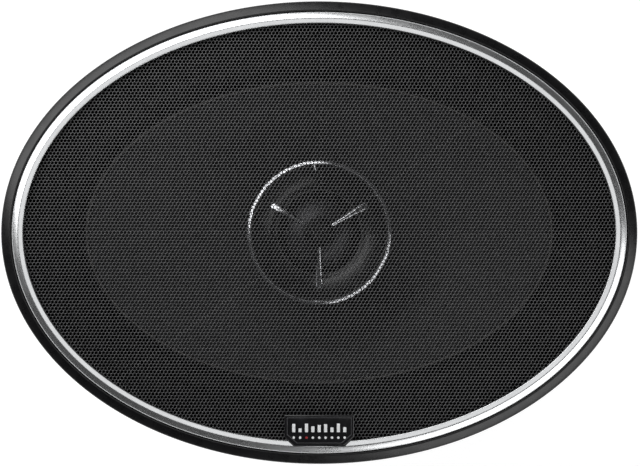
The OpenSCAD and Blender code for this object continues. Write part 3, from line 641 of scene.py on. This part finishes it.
NYLON = film_sleeve("natural_nylon", (0.55, 0.55, 0.5))


# ---- grille ----

def dome(x, y):
    """Height of the mesh's top face."""
    f2 = (x / (HALF_W - ACCENT_IN)) ** 2 + (y / (HALF_H - ACCENT_IN)) ** 2
    return MESH_EDGE_Z + MESH_RISE * np.clip(1 - f2, 0, None)


def perforated(name, centres):
    """Hexagonal cells round the given hole centres, each with a round hole, as one closed sheet."""
    corner_r = HOLE_PITCH / math.sqrt(3)
    sides, facets = 6, 12
    corner_angle = np.radians(30 + 60 * np.arange(sides))
    hole_angle = np.radians(30 + 30 * np.arange(facets))
    corners = centres[:, None, :] + corner_r * np.stack([np.cos(corner_angle), np.sin(corner_angle)], -1)
    holes = centres[:, None, :] + HOLE_R * np.stack([np.cos(hole_angle), np.sin(hole_angle)], -1)
    keys = np.round(corners.reshape(-1, 2) / (corner_r * 0.25)).astype(np.int64)
    _, first, index = np.unique(keys, axis=0, return_index=True, return_inverse=True)
    shared = corners.reshape(-1, 2)[first]
    c = index.reshape(-1, sides)
    h = len(shared) + np.arange(len(centres) * facets).reshape(-1, facets)
    flat = np.concatenate([shared, holes.reshape(-1, 2)])
    z = dome(flat[:, 0], flat[:, 1])
    top = np.column_stack([flat, z])
    low = np.column_stack([flat, z - WEB_T])
    n = len(flat)
    k, m = np.arange(sides), np.arange(facets)
    web = [c[:, k], c[:, (k + 1) % sides], h[:, (2 * k + 2) % facets], h[:, 2 * k + 1], h[:, 2 * k]]
    web = np.stack(web, -1).reshape(-1, len(web))
    bore = [h[:, m], h[:, (m + 1) % facets], h[:, (m + 1) % facets] + n, h[:, m] + n]
    bore = np.stack(bore, -1).reshape(-1, len(bore))
    edges = np.stack([c[:, k], c[:, (k + 1) % sides]], -1).reshape(-1, 2)
    ends = np.sort(edges, axis=1)
    _, back, count = np.unique(ends, axis=0, return_inverse=True, return_counts=True)
    rim = edges[count[back.ravel()] == 1]
    wall = np.column_stack([rim[:, 1], rim[:, 0], rim[:, 0] + n, rim[:, 1] + n])
    return mesh_from(name, np.concatenate([top, low]), [web, web[:, ::-1] + n, bore, wall])


def hole_centres():
    """A hexagonal lattice with level rows, kept inside the accent ring."""
    row_step = HOLE_PITCH * math.sqrt(3) / 2
    rows = np.arange(-int(HALF_H / row_step), int(HALF_H / row_step) + 1)
    columns = np.arange(-int(HALF_W / HOLE_PITCH) - 1, int(HALF_W / HOLE_PITCH) + 2)
    j, i = np.meshgrid(rows, columns, indexing="ij")
    x = (i + 0.5 * (j % 2)) * HOLE_PITCH
    y = j * row_step
    tuck = ACCENT_IN - 0.45
    inside = (x / (HALF_W - tuck)) ** 2 + (y / (HALF_H - tuck)) ** 2 < 1
    return np.column_stack([x[inside], y[inside]])


def grille_mesh():
    """Sectors of perforated sheet on a plain hem that the accent ring holds."""
    centres = hole_centres()
    angle = np.arctan2(centres[:, 1] / HALF_H, centres[:, 0] / HALF_W)
    sector = np.floor((angle + math.pi) / (2 * math.pi) * MESH_SECTORS).astype(int) % MESH_SECTORS
    for s in range(MESH_SECTORS):
        sheet = perforated(f"mesh_sector_{s + 1}", centres[sector == s])
        piece(sheet, COAT, "grille", ["grille_mesh"], smooth=0)
    outer, inner = MESH_EDGE + 0.05, ACCENT_IN - 0.3
    low, high = CHANNEL_Z + GAP, MESH_EDGE_Z - 0.03
    hem = [(outer, low, 0.1), (outer, high, 0.1), (inner, high, 0.1), (inner, low, 0.1)]
    piece(oval("mesh_hem", hem, grille_row, 2), COAT, "grille", ["grille_mesh"])


def trim_ring():
    """Black frame: upright side, sloping face with a crisp top edge, groove beside the accent ring."""
    foot, side, top, under = trim_low[2], 7.7, trim_high[2], 7.4
    slope, edge, wall, inner = 3.3, 0.6, 1.6, 8.9
    corners = [
        (0.0, foot, 0.4),
        (0.0, side, 0.5),
        (slope * 0.42, side + (top - side) * 0.47, 1.2),
        (slope, top, 0.3),
        (slope + edge, top, 0.22),
        (ACCENT_OUT - 0.12, CHANNEL_Z + 0.05, 0.1),
        (inner, CHANNEL_Z - GAP, 0.1),
        (inner, under, 0.2),
        (slope + wall, under, 0.8),
        (wall, under - 0.4, 0.3),
        (wall, foot, 0.3),
    ]
    piece(oval("trim_frame", corners, grille_row, 5), MOULDED, "grille", ["trim_ring"], 50)


def badge_outline(grow):
    """The badge's stepped outline, grown by so many millimetres."""
    x, y = BADGE_W / 2 + grow, BADGE_H / 2 + grow
    foot, step = BADGE_FOOT / 2 + grow, BADGE_STEP
    return [(-x, y), (-x, -y + step), (-foot, -y), (foot, -y), (x, -y + step), (x, y)]


def at_badge(mesh):
    """Places a mesh made round the origin into the badge's tilted plane."""
    return turned(mesh, 0, (0, -BADGE_Y, BADGE_Z), BADGE_TILT)


def accent_ring():
    """Silver ring of two facets that meet in a soft crest, notched round the badge."""
    shoulder, crest = 10.3, accent_high[2]
    lip, outer, inner = crest - 0.04, MESH_EDGE - 0.25, ACCENT_IN - GAP
    corners = [
        (ACCENT_OUT + 0.12, CHANNEL_Z + 0.04, 0.1),
        (ACCENT_OUT + GAP, shoulder, 0.5),
        ((ACCENT_OUT + ACCENT_CREST) / 2, (shoulder + crest) / 2 + 0.1, 1.0),
        (ACCENT_CREST, crest, 0.35),
        (inner, lip, 0.3),
        (inner, MESH_EDGE_Z + GAP, 0.1),
        (outer, MESH_EDGE_Z + GAP, 0.1),
        (outer, CHANNEL_Z + 0.04, 0.1),
    ]
    ring = oval("accent_band", corners, grille_row, 5, 540)
    notch = prism("notch", badge_outline(0.3), -1.5, 6.0)
    piece(carved(ring, at_badge(notch)), SILVER, "grille", ["accent_ring"], 40)


def badge():
    """Gloss plate on two pins, with a thin raised line inside its edge and the emblem."""
    plate = prism("badge_face", badge_outline(0), 0, BADGE_T, 0.3, 4)
    pins = [
        turned(prism("pin", circle(PIN_R, 24), 0, PIN_H, 0.1, 1), 0, (side * PIN_X, -PIN_Y, PIN_Z))
        for side in (-1, 1)
    ]
    face = joined("badge_face", [at_badge(plate), *pins])
    piece(face, GLOSS, "grille", ["badge_plate"], 30)
    line = prism("line", badge_outline(-0.9), BADGE_T - GAP, BADGE_T + 0.07)
    inside = prism("inside", badge_outline(-1.15), BADGE_T - 0.2, BADGE_T + 0.4)
    piece(at_badge(carved(line, inside)), BADGE_LINE, "grille", smooth=30)
    emblem()


def emblem():
    """Generic motif: nine level bars over a row of dots, one of them red."""
    count, pitch, bar_w, base, dot_y, dot_r, red_dot = 9, 2.5, 1.25, -0.7, -2.9, 0.5, 2
    low, top = BADGE_T - GAP, BADGE_T + 0.3
    bars, dots = [], []
    for i in range(count):
        x = (i - (count - 1) / 2) * pitch
        left, right = x - bar_w / 2, x + bar_w / 2
        level = base + 1.4 + 2.1 * abs(math.cos(math.radians(i * 74 + 20)))
        outline = [(left, base), (right, base), (right, level), (left, level)]
        bars.append(prism("bar", outline, low, top, 0.12, 2))
        dots.append(prism("dot", circle(dot_r, 24, x, dot_y), low, top, 0.1, 2))
    red = dots.pop(red_dot)
    for name, marks, ink in (("emblem_marks", bars + dots, INK), ("emblem_dot_red", [red], RED)):
        piece(at_badge(joined(name, marks)), ink, "grille", ["badge_emblem"], 30)


# ---- suspension and cone ----

def cone_row(s, drop=0.0):
    """A row of the cone's face, s from 0 at the neck to 1 at the rim."""
    a = NECK_R + (CONE_A - 1 - NECK_R) * s
    b = NECK_R + (CONE_B - 1 - NECK_R) * s
    return a, b, NECK_Z + (DECK_Z - NECK_Z) * s ** FLARE - drop


def cone():
    """Paper cone: a shallow flared shell with a flat rim that the surround is glued to."""
    steps = np.linspace(1, 0, 34) ** 1.3
    bore, rim_w = FORMER_R + FORMER_T + 0.2, 2.55
    face = [cone_row(s, 0.01) for s in steps]
    back = [cone_row(s, CONE_T) for s in steps[::-1]]
    rim = [driver_row(rim_w, DECK_Z - CONE_T), driver_row(rim_w, DECK_Z - 0.01)]
    neck = [round_row(bore, NECK_Z), round_row(bore, NECK_Z - CONE_T)]
    shell = loft("cone_body", [*face, *neck, *back, *rim])
    piece(shell, PULP, "cone_assembly", ["cone"], 50)


def bend_by_radius(obj):
    """Bakes the object's transform into its mesh."""
    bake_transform(obj)


def surround():
    """Half-roll rubber edge between two flat lips, with a thin bead of glue on the cone's rim."""
    thick, top = 0.6, DECK_Z + 0.6
    mid, half = (ROLL_IN + ROLL_OUT) / 2, (ROLL_OUT - ROLL_IN) / 2
    height = surround_high[2] - top
    angles = np.radians(np.linspace(0, 180, 25))
    over = [(mid + half * math.cos(a), top + height * math.sin(a)) for a in angles]
    under = [(mid + (half - thick) * math.cos(a), DECK_Z + GAP + height * math.sin(a)) for a in angles[::-1]]
    lip = [(LIP_OUT, DECK_Z + GAP), (LIP_OUT, top)]
    bead = [(1.4, top), (0.9, top + 0.22), (0.35, top + 0.18), (0.0, top - 0.1), (0.0, DECK_Z + GAP)]
    rows = [driver_row(w, z) for w, z in lip + over + bead + under]
    obj = piece(loft("surround_roll", rows), RUBBER, None, ["surround"], 45)
    bend_by_radius(obj)
    glue = [
        (1.5, top - GAP, 0.1),
        (1.3, top + 0.24, 0.2),
        (0.75, top + 0.34, 0.3),
        (0.3, top + 0.2, 0.2),
        (0.1, top - GAP, 0.1),
    ]
    piece(oval("edge_glue", glue, driver_row, 3), RESIN, "cone_assembly", smooth=50)


def spider():
    """Corrugated cloth damper, glued to the former inside and to the shelf outside."""
    inner, outer = FORMER_R + FORMER_T + 0.15, spider_high[0]
    held, start, stop, waves, swing, thick = 16.0, 17.0, 44.5, 6, 1.3, 0.5
    shelf = (spider_low[2] + spider_high[2]) / 2 - thick / 2
    rs = np.concatenate([[inner], np.linspace(start, stop, 145), [outer]])
    phase = np.clip((rs - start) / (stop - start), 0, 1)
    z = shelf + swing * np.sin(phase * 2 * math.pi * waves)
    top = [round_row(r, h + thick) for r, h in zip(rs, z)]
    low = [round_row(r, h) for r, h in zip(rs[::-1], z[::-1])]
    obj = piece(loft("spider_damper", top + low, 180), CLOTH, None, ["spider"], 60)
    bend_by_radius(obj)


def tube(name, path, r):
    """A round tube through points, on one smooth curve."""
    curve = bpy.data.curves.new(name, "CURVE")
    curve.dimensions = "3D"
    curve.bevel_depth = r * MM
    curve.bevel_resolution = 3
    curve.resolution_u = 6
    curve.use_fill_caps = True
    spline = curve.splines.new("NURBS")
    spline.points.add(len(path) - 1)
    for point, co in zip(spline.points, path):
        point.co = (*[c * MM for c in co], 1.0)
    spline.order_u = 3
    spline.use_endpoint_u = True
    holder = bpy.data.objects.new(name, curve)
    bpy.context.scene.collection.objects.link(holder)
    graph = bpy.context.evaluated_depsgraph_get()
    graph.update()
    mesh = bpy.data.meshes.new_from_object(holder.evaluated_get(graph))
    mesh.name = name
    bpy.data.objects.remove(holder)
    return mesh


def tinsel_leads():
    """Two braided leads from the terminals to the cone, on the CAD's route."""
    route = [
        (8, -57, -30.2),
        (9, -60, -27),
        (9.5, -57, -23.5),
        (9.5, -48, -21.5),
        (9, -38, -18),
        (8.5, -32, -11),
    ]
    for side, word in ((-1, "left"), (1, "right")):
        path = [(side * x, y, z) for x, y, z in route]
        lead = tube(f"tinsel_{word}", path, TINSEL_R)
        obj = piece(lead, BRAID, None, ["tinsel_leads"], 60)
        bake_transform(obj)


def gasket_ring():
    """Foam ring over the surround's lip, out to the grille's base ring."""
    low, high = gasket_low[2] + GAP, gasket_high[2]
    inner, outer = ROLL_OUT + 0.2, LIP_OUT + 1.1
    corners = [(outer, low, 0.3), (outer, high, 0.5), (inner, high, 0.5), (inner, low, 0.3)]
    ring = oval("front_gasket_ring", corners, driver_row, 3)
    piece(ring, FOAM, "frame", ["front_gasket"])


# ---- basket ----

def wall_point(row):
    """A point of the basket's wall, row counted from the flange down."""
    knots = np.array(WALL)
    return np.array([np.interp(row, np.arange(len(knots)), knots[:, c]) for c in range(3)])


def basket_wall():
    """The sloping wall: windows between pressed spokes, with rounded window corners."""
    rows, stations = 61, 480
    rib_depth, rib_w, rib_rise = 1.1, 1.9, 0.6
    half_spoke, first_row, last_row, corner = 5.0, 1.0, 4.0, 0.34
    period = stations // SPOKES
    s = np.linspace(0, len(WALL) - 1, rows)
    t = np.arange(stations) * 2 * math.pi / stations
    ring = np.array([wall_point(v) for v in s])
    ring[:, :2] -= SHEET_T / 2
    ring[:, 2] += np.interp(s, range(len(WALL)), [0, 0.15, 0.45, 0.5, 0.5, 0.5])
    from_spoke = np.abs((np.arange(stations) + period / 2) % period - period / 2) * 360 / stations
    fade = np.clip(np.minimum(s - 0.6, last_row + 0.2 - s), 0, 1)
    press = rib_depth * np.exp(-(from_spoke[None, :] / rib_w) ** 2) * fade[:, None]
    x = (ring[:, :1] - press) * np.cos(t)
    y = (ring[:, 1:2] - press) * np.sin(t)
    z = ring[:, 2:] + press * rib_rise
    points = np.stack([x, y, z + 0 * t], -1).reshape(-1, 3)
    faces = ring_faces(rows, stations, False)
    row_mid = (s[:-1] + s[1:]) / 2
    gap_mid = (from_spoke + np.roll(from_spoke, -1)) / 2
    u = ((gap_mid - half_spoke) / 6.0)[None, :]
    v = np.minimum(row_mid - first_row, last_row - row_mid)[:, None]
    near = np.hypot(np.clip(corner - u, 0, None), np.clip(corner - v, 0, None))
    is_open = (u > 0) & (v > 0) & (near < corner)
    mesh = mesh_from("basket_wall", points, [faces[~is_open.reshape(-1)]])
    relax_edges(mesh, 4)
    thick = bpy.data.objects.new("sheet", mesh)
    bpy.context.scene.collection.objects.link(thick)
    solid = thick.modifiers.new("solid", "SOLIDIFY")
    solid.thickness = SHEET_T * MM
    solid.offset = 0.0
    solid.use_even_offset = True
    graph = bpy.context.evaluated_depsgraph_get()
    out = bpy.data.meshes.new_from_object(thick.evaluated_get(graph))
    out.name = "basket_wall"
    bpy.data.objects.remove(thick)
    tidy(out)
    piece(out, STEEL, "frame", ["basket"], 40)


def relax_edges(mesh, passes):
    """Drops loose points, then smooths the window edges along themselves."""
    work = bmesh.new()
    work.from_mesh(mesh)
    bmesh.ops.delete(work, geom=[v for v in work.verts if not v.link_faces], context="VERTS")
    top, low = max(v.co.z for v in work.verts), min(v.co.z for v in work.verts)
    for _ in range(passes):
        moves = {}
        for v in work.verts:
            ends = [e.other_vert(v) for e in v.link_edges if e.is_boundary]
            if len(ends) == 2 and low + 1e-4 < v.co.z < top - 1e-4:
                moves[v] = (v.co + (ends[0].co + ends[1].co)) / 3
        for v, co in moves.items():
            v.co = co
    bmesh.ops.recalc_face_normals(work, faces=work.faces)
    work.to_mesh(mesh)
    work.free()


def flange_plate(name, outer_w, inner_w, low, high, bevel, punched=True):
    """The flange's outline with its ears, and its screw holes cut through where asked."""
    t = np.linspace(0, 2 * math.pi, 720, endpoint=False)
    direction = np.stack([np.cos(t), np.sin(t)], -1)

    def oval_r(w):
        a, b, _ = driver_row(w, 0)
        return 1 / np.sqrt((direction[:, 0] / a) ** 2 + (direction[:, 1] / b) ** 2)

    r, r_in = oval_r(outer_w), oval_r(inner_w)
    screws = [(sx * SCREW_X, sy * SCREW_Y, 0) for sx in (-1, 1) for sy in (-1, 1)]
    for screw in screws:
        centre = np.array(screw[:2])
        along = direction @ centre
        reach = EAR_R ** 2 - (centre @ centre - along ** 2)
        ear = np.where((reach > 0) & (along > 0), along + np.sqrt(np.clip(reach, 0, None)), 0)
        r = np.maximum(r, ear)
    levels = [
        (r_in, low), (r - bevel, low), (r, low + bevel),
        (r, high - bevel), (r - bevel, high), (r_in, high),
    ]
    points = [np.column_stack([direction * q[:, None], np.full(len(t), z)]) for q, z in levels]
    mesh = mesh_from(name, np.concatenate(points), [ring_faces(len(levels), len(t), True)])
    tidy(mesh)
    if not punched:
        return mesh
    holes = [turned(prism("hole", circle(SCREW_R, 48), low - 1, high + 1), 0, screw) for screw in screws]
    return carved(mesh, joined("holes", holes))


def basket():
    """Stamped frame: wall, flange, vented cup and the tab under the terminals. Also the rear gasket."""
    basket_wall()
    flange_low, flange_high = DECK_Z - SHEET_T + GAP, DECK_Z - GAP
    flange = flange_plate("basket_flange", 27.4, 13.9, flange_low, flange_high, 0.2)
    piece(flange, STEEL, "frame", ["basket"], 30)
    gasket = flange_plate("rear_gasket_ring", 26.8, 16.5, 0.0, flange_low - 2 * GAP, 0.25, False)
    piece(gasket, FOAM, "frame", ["rear_gasket"], 30)
    floor, step = CUP_Z - SHEET_T, SHELF_Z - SHEET_T
    cup = spun("basket_cup", [
        (SHELF_R, SHELF_Z, 0.4),
        (SHELF_R, step, 0.4),
        (CUP_R, step, 1.2),
        (CUP_R, floor, 1.8),
        (CUP_HOLE, floor, 0.3),
        (CUP_HOLE, CUP_Z, 0.3),
        (CUP_R - SHEET_T, CUP_Z, 1.0),
        (CUP_R - SHEET_T, SHELF_Z, 1.6),
    ])
    vents = []
    vent_z = (CUP_Z + SHELF_Z - SHEET_T) / 2
    for k in range(SPOKES):
        drill = prism("vent", circle(VENT_R, 48), CUP_R - 4, CUP_R + 2)
        drill.transform(Matrix.Rotation(math.radians(90), 4, "Y"))
        vents.append(turned(drill, k * 360 / SPOKES, (0, 0, vent_z)))
    piece(carved(cup, joined("vents", vents)), STEEL, "frame", ["basket"], 35)
    tab = prism("basket_tab", [(-4.5, -64), (4.5, -64), (4.5, -50), (-4.5, -50)], -31.0, -29.8, 0.3, 2)
    piece(tab, STEEL, "frame", ["basket"], 30)


# ---- motor ----

def motor():
    """Rubber boot with a rolled lip, top plate and ferrite ring."""
    low, wall_out, wall_in, hole = boot_low[2], boot_high[0], 47.1, 11.0
    floor, lip = -74.2 + GAP, -52.6
    boot = spun("boot_cover", [
        (hole, low, 0.4),
        (wall_out - 1.4, low, 1.6),
        (wall_out, low + 1.6, 1.6),
        (wall_out, lip - 3.2, 0.4),
        (wall_out - 0.35, lip - 2.4, 0.3),
        (wall_out - 0.35, lip, 0.5),
        (wall_in, lip, 0.3),
        (wall_in, floor, 0.8),
        (hole, floor, 0.4),
    ])
    piece(boot, BOOT_RUBBER, "frame", ["magnet_boot"], 40)
    bore, rim, low, high = 14.0, 42.5, -51.2 + GAP, -45.2 - GAP
    corners = [(bore, low, 0.4), (rim, low, 0.5), (rim, high, 0.6), (bore, high, 0.4)]
    plate = spun("top_plate_disc", corners, 4)
    piece(plate, ZINC, "frame", ["top_plate"], 40)
    bore, rim, low, high = 24.0, 47.0 - GAP, -68.2 + GAP, -51.2 - GAP
    corners = [(bore, low, 0.6), (rim, low, 1.4), (rim, high, 1.4), (bore, high, 0.6)]
    ring = spun("magnet_ring", corners, 4)
    piece(ring, FERRITE, "frame", ["magnet"], 40)


# ---- tweeter pod ----

def pod():
    """Bright rim, flared face and shell of the tweeter pod."""
    low, top, edge = bezel_low[2], bezel_high[2], bezel_high[0]
    inner = edge - 2.05
    rim = spun("pod_rim", [
        (inner, low + GAP, 0.1),
        (edge - 0.05, low + GAP, 0.2),
        (edge, top - 1.1, 0.2),
        (edge - 0.35, top - 0.6, 0.3),
        (edge - 1.55, top, 0.12),
        (inner + 0.05, top - 0.8, 0.2),
    ])
    piece(rim, CHROME, "frame", ["pod_bezel"], 40)
    flare = spun("pod_flare", [
        (16.42, 6.22, 0.1),
        (18.5, 6.22, 0.3),
        (edge - 1.4, low - 0.3, 0.2),
        (edge - 1.4, low - GAP, 0.1),
        (inner - 0.2, low - GAP, 0.2),
        (24.4, 11.45, 2.0),
        (22.0, 9.6, 2.0),
        (20.0, 8.3, 2.0),
        (18.4, 7.6, 1.0),
        (17.2, 7.25, 0.3),
        (16.9, 7.0, 0.2),
        (16.42, 7.0, 0.15),
    ])
    piece(flare, FLARE_BLACK, "frame", ["tweeter_faceplate"], 40)
    shell = spun("pod_shell", [
        (4.06, -8.98, 0.1),
        (12.5, -8.98, 1.0),
        (16.5, -7.0, 2.0),
        (19.0, -2.0, 3.0),
        (21.8, 4.0, 3.0),
        (27.2, 10.2, 2.0),
        (edge - 0.27, 12.0, 0.8),
        (edge - 0.27, low - GAP, 0.2),
        (edge - 1.15, low - GAP, 0.1),
        (edge - 1.15, low - 0.8, 0.2),
        (19.6, 6.0, 0.4),
        (18.6, 5.48, 0.2),
        (15.62, 5.48, 0.2),
        (15.62, -5.98, 0.2),
        (4.06, -5.98, 0.1),
    ])
    piece(shell, POD_BLACK, "frame", ["pod_housing"], 40)


def tweeter():
    """Film dome with its skirt, and the small half-roll that hangs it."""
    r, rise, skirt, film = dome_high[0], 4.6, 0.6, 0.3
    base = dome_high[2] - rise
    ball = (r * r + rise * rise) / (2 * rise)

    def cap(radius, drop):
        reach = radius * np.linspace(0, 1, 28)
        return [(q, base + rise - drop - ball + math.sqrt(ball ** 2 - q ** 2)) for q in reach]

    hem = base - skirt + GAP
    profile = [*cap(r, 0), (r, hem), (r - film, hem), *cap(r - film, film)[::-1]]
    shell = loft("dome_film", [round_row(q, z) for q, z in profile], 180, closed=False)
    piece(shell, DOME, "tweeter_diaphragm", ["tweeter_dome"], 50)
    inner, outer, thick, foot, crest = r + 0.2, 15.9, 0.25, 6.0, 1.1
    mid, half = (inner + outer) / 2, (outer - inner) / 2
    angles = np.radians(np.linspace(180, 0, 17))
    over = [(mid + half * math.cos(a), foot + crest * math.sin(a)) for a in angles]
    under = [(mid + (half - thick) * math.cos(a), foot - thick + crest * math.sin(a)) for a in angles[::-1]]
    seat = [(18.48, foot), (18.48, 5.52), (outer, 5.52)]
    ring = loft("dome_edge", [round_row(q, z) for q, z in over + seat + under], 180)
    piece(ring, RUBBER, "frame", ["tweeter_surround"], 50)


def arm(start, stop, top):
    """A spoke that slopes down from hub to flare, with steep sides and a top that widens outwards."""
    stations, sides, depth, droop = 28, 8, 1.3, 0.8
    u = np.linspace(0, 1, stations)
    x = start + (stop - start) * u
    half = (0.8 + 0.6 * u) * np.sqrt(np.clip(1 - ((u - 0.93) / 0.075) ** 2 * (u > 0.93), 0.04, 1))
    ridge = top - (ARM_FALL - droop) * u - droop * np.clip((u - 0.5) / 0.5, 0, 1) ** 2
    flat = half * (0.15 + 0.6 * u ** 2)
    rows = []
    for k in range(stations):
        h, w, z = half[k], flat[k], ridge[k]
        c = 0.7 * min(0.45, h - w)
        edge = [(h, z - depth), (h, z - 0.5 * c - (h - w - c)), (w + c, z - 0.5 * c), (w, z)]
        rows += [(x[k], -y, height) for y, height in edge]
        rows += [(x[k], y, height) for y, height in edge[::-1]]
    walls = ring_faces(stations, sides, False)
    caps = np.array([np.arange(sides), (stations - 1) * sides + np.arange(sides)[::-1]])
    mesh = mesh_from("arm", rows, [walls, caps])
    tidy(mesh)
    return mesh


def diffuser():
    """Hub and three bright arms that slope down to the flare, and the tick on the pod's rim."""
    hub_z, thick, hub_r, reach = 12.2, 1.3, 6.2, 21.8
    top = hub_z + thick
    arms = [turned(arm(hub_r - 1.2, reach, top), angle) for angle in (30, 150, 270)]
    piece(joined("diffuser_arms", arms), CHROME, "frame", ["diffuser"], 12)
    hub = spun("diffuser_hub", [
        (0, hub_z, 0),
        (hub_r - 0.3, hub_z, 0.4),
        (hub_r, top - 0.3, 0.6),
        (hub_r * 0.55, top + 0.65, 1.6),
        (hub_r * 0.3, top + 0.5, 0.8),
        (0, top + 0.35, 0),
    ], 5, 120, closed=False)
    piece(hub, POD_BLACK, "frame", ["diffuser"], 35)
    slash = [(-0.1, 24.2), (0.8, 24.2), (0.1, 27.4), (-0.8, 27.4)]
    tick = prism("pod_tick", slash, 12.6, 14.9, 0.2, 2)
    piece(turned(tick, 4), CHROME, "frame", smooth=30)


# ---- carried-over CAD nodes ----

CAD_LOOKS = [
    (ZINC, ["badge_push_nuts", "grille_clips", "yoke", "basket_rivets", "post_screw"]),
    (ZINC, ["tweeter_cup", "tweeter_plate"]),
    (TIN, ["terminal_positive", "terminal_negative", "terminal_rivets", "capacitor_leads"]),
    (COPPER, ["voice_coil", "tweeter_coil"]),
    (FRAME_PLASTIC, ["grille_base_ring"]),
    (RESIN, ["cone_collar"]),
    (FILM, ["voice_coil_former"]),
    (STEEL, ["tweeter_post"]),
    (NICKEL, ["tweeter_magnet"]),
    (RED_SLEEVE, ["tweeter_leads"]),
    (BLUE_SLEEVE, ["capacitor"]),
    (NYLON, ["capacitor_strap"]),
    (BOARD, ["terminal_board"]),
]


def dress_cad_nodes():
    """Gives the CAD nodes that stay their materials."""
    for material, names in CAD_LOOKS:
        for name in names:
            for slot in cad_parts[name].material_slots:
                slot.link = "OBJECT"
                slot.material = material


# ---- studio ----

def camera():
    """Square to the front, far enough back that the oval keeps its proportions."""
    data = bpy.data.cameras.new("camera")
    data.lens = LENS
    data.sensor_width = SENSOR
    data.clip_start = 0.05
    data.clip_end = 20
    rig = bpy.data.objects.new("camera", data)
    bpy.context.scene.collection.objects.link(rig)
    distance = VIEW_W * LENS / SENSOR
    rig.location = (AIM_X * MM, AIM_Y * MM, (trim_low[2] + distance) * MM)
    bpy.context.scene.camera = rig


def softbox(name, azimuth, elevation, distance, width, height, radiance):
    """A rectangular lamp that faces the speaker. Angles in degrees, sizes in metres."""
    data = bpy.data.lights.new(name, "AREA")
    data.shape = "RECTANGLE"
    data.size = width
    data.size_y = height
    data.energy = radiance * math.pi * width * height
    lamp = bpy.data.objects.new(name, data)
    bpy.context.scene.collection.objects.link(lamp)
    a, e = math.radians(azimuth), math.radians(elevation)
    lamp.location = Vector((math.cos(a) * math.cos(e), math.sin(a) * math.cos(e), math.sin(e))) * distance
    lamp.rotation_mode = "QUATERNION"
    lamp.rotation_quaternion = lamp.location.to_track_quat("Z", "Y")


def backdrop():
    """A pale floor that curves up into a low wall all round."""
    base = cad_box[0][2] / MM
    flat = [(0.5, 0), (300, 0), (3000, 0), (9000, 0)]
    rise = [(11000, 120), (13000, 500), (14500, 1200), (15000, 2200)]
    mesh = loft("floor", [round_row(r, base + h) for r, h in flat + rise], 96, closed=False)
    mesh.flip_normals()
    mesh.shade_smooth()
    mesh.materials.append(floor_paper())
    ground = bpy.data.objects.new("floor", mesh)
    bpy.context.scene.collection.objects.link(ground)


def studio():
    """White room light, two low keys that graze the frame and a soft lamp overhead."""
    scene = bpy.context.scene
    scene.view_settings.view_transform = "Standard"
    world = bpy.data.worlds.new("studio")
    world.use_nodes = True
    background = world.node_tree.nodes["Background"].inputs
    background["Color"].default_value = (1, 1, 1, 1)
    background["Strength"].default_value = WORLD_GLOW
    scene.world = world
    softbox("key_top_left", azimuth=132, elevation=36, distance=1.1, width=1.5, height=0.8, radiance=3.6)
    softbox("key_low_right", azimuth=317, elevation=30, distance=1.1, width=1.5, height=0.55, radiance=2.7)
    softbox("overhead", azimuth=0, elevation=89.5, distance=4.2, width=2.0, height=2.0, radiance=1.2)
    backdrop()


# ---- build ----

camera()
studio()
grille_mesh()
trim_ring()
accent_ring()
badge()
cone()
surround()
spider()
tinsel_leads()
gasket_ring()
basket()
motor()
pod()
tweeter()
diffuser()
dress_cad_nodes()
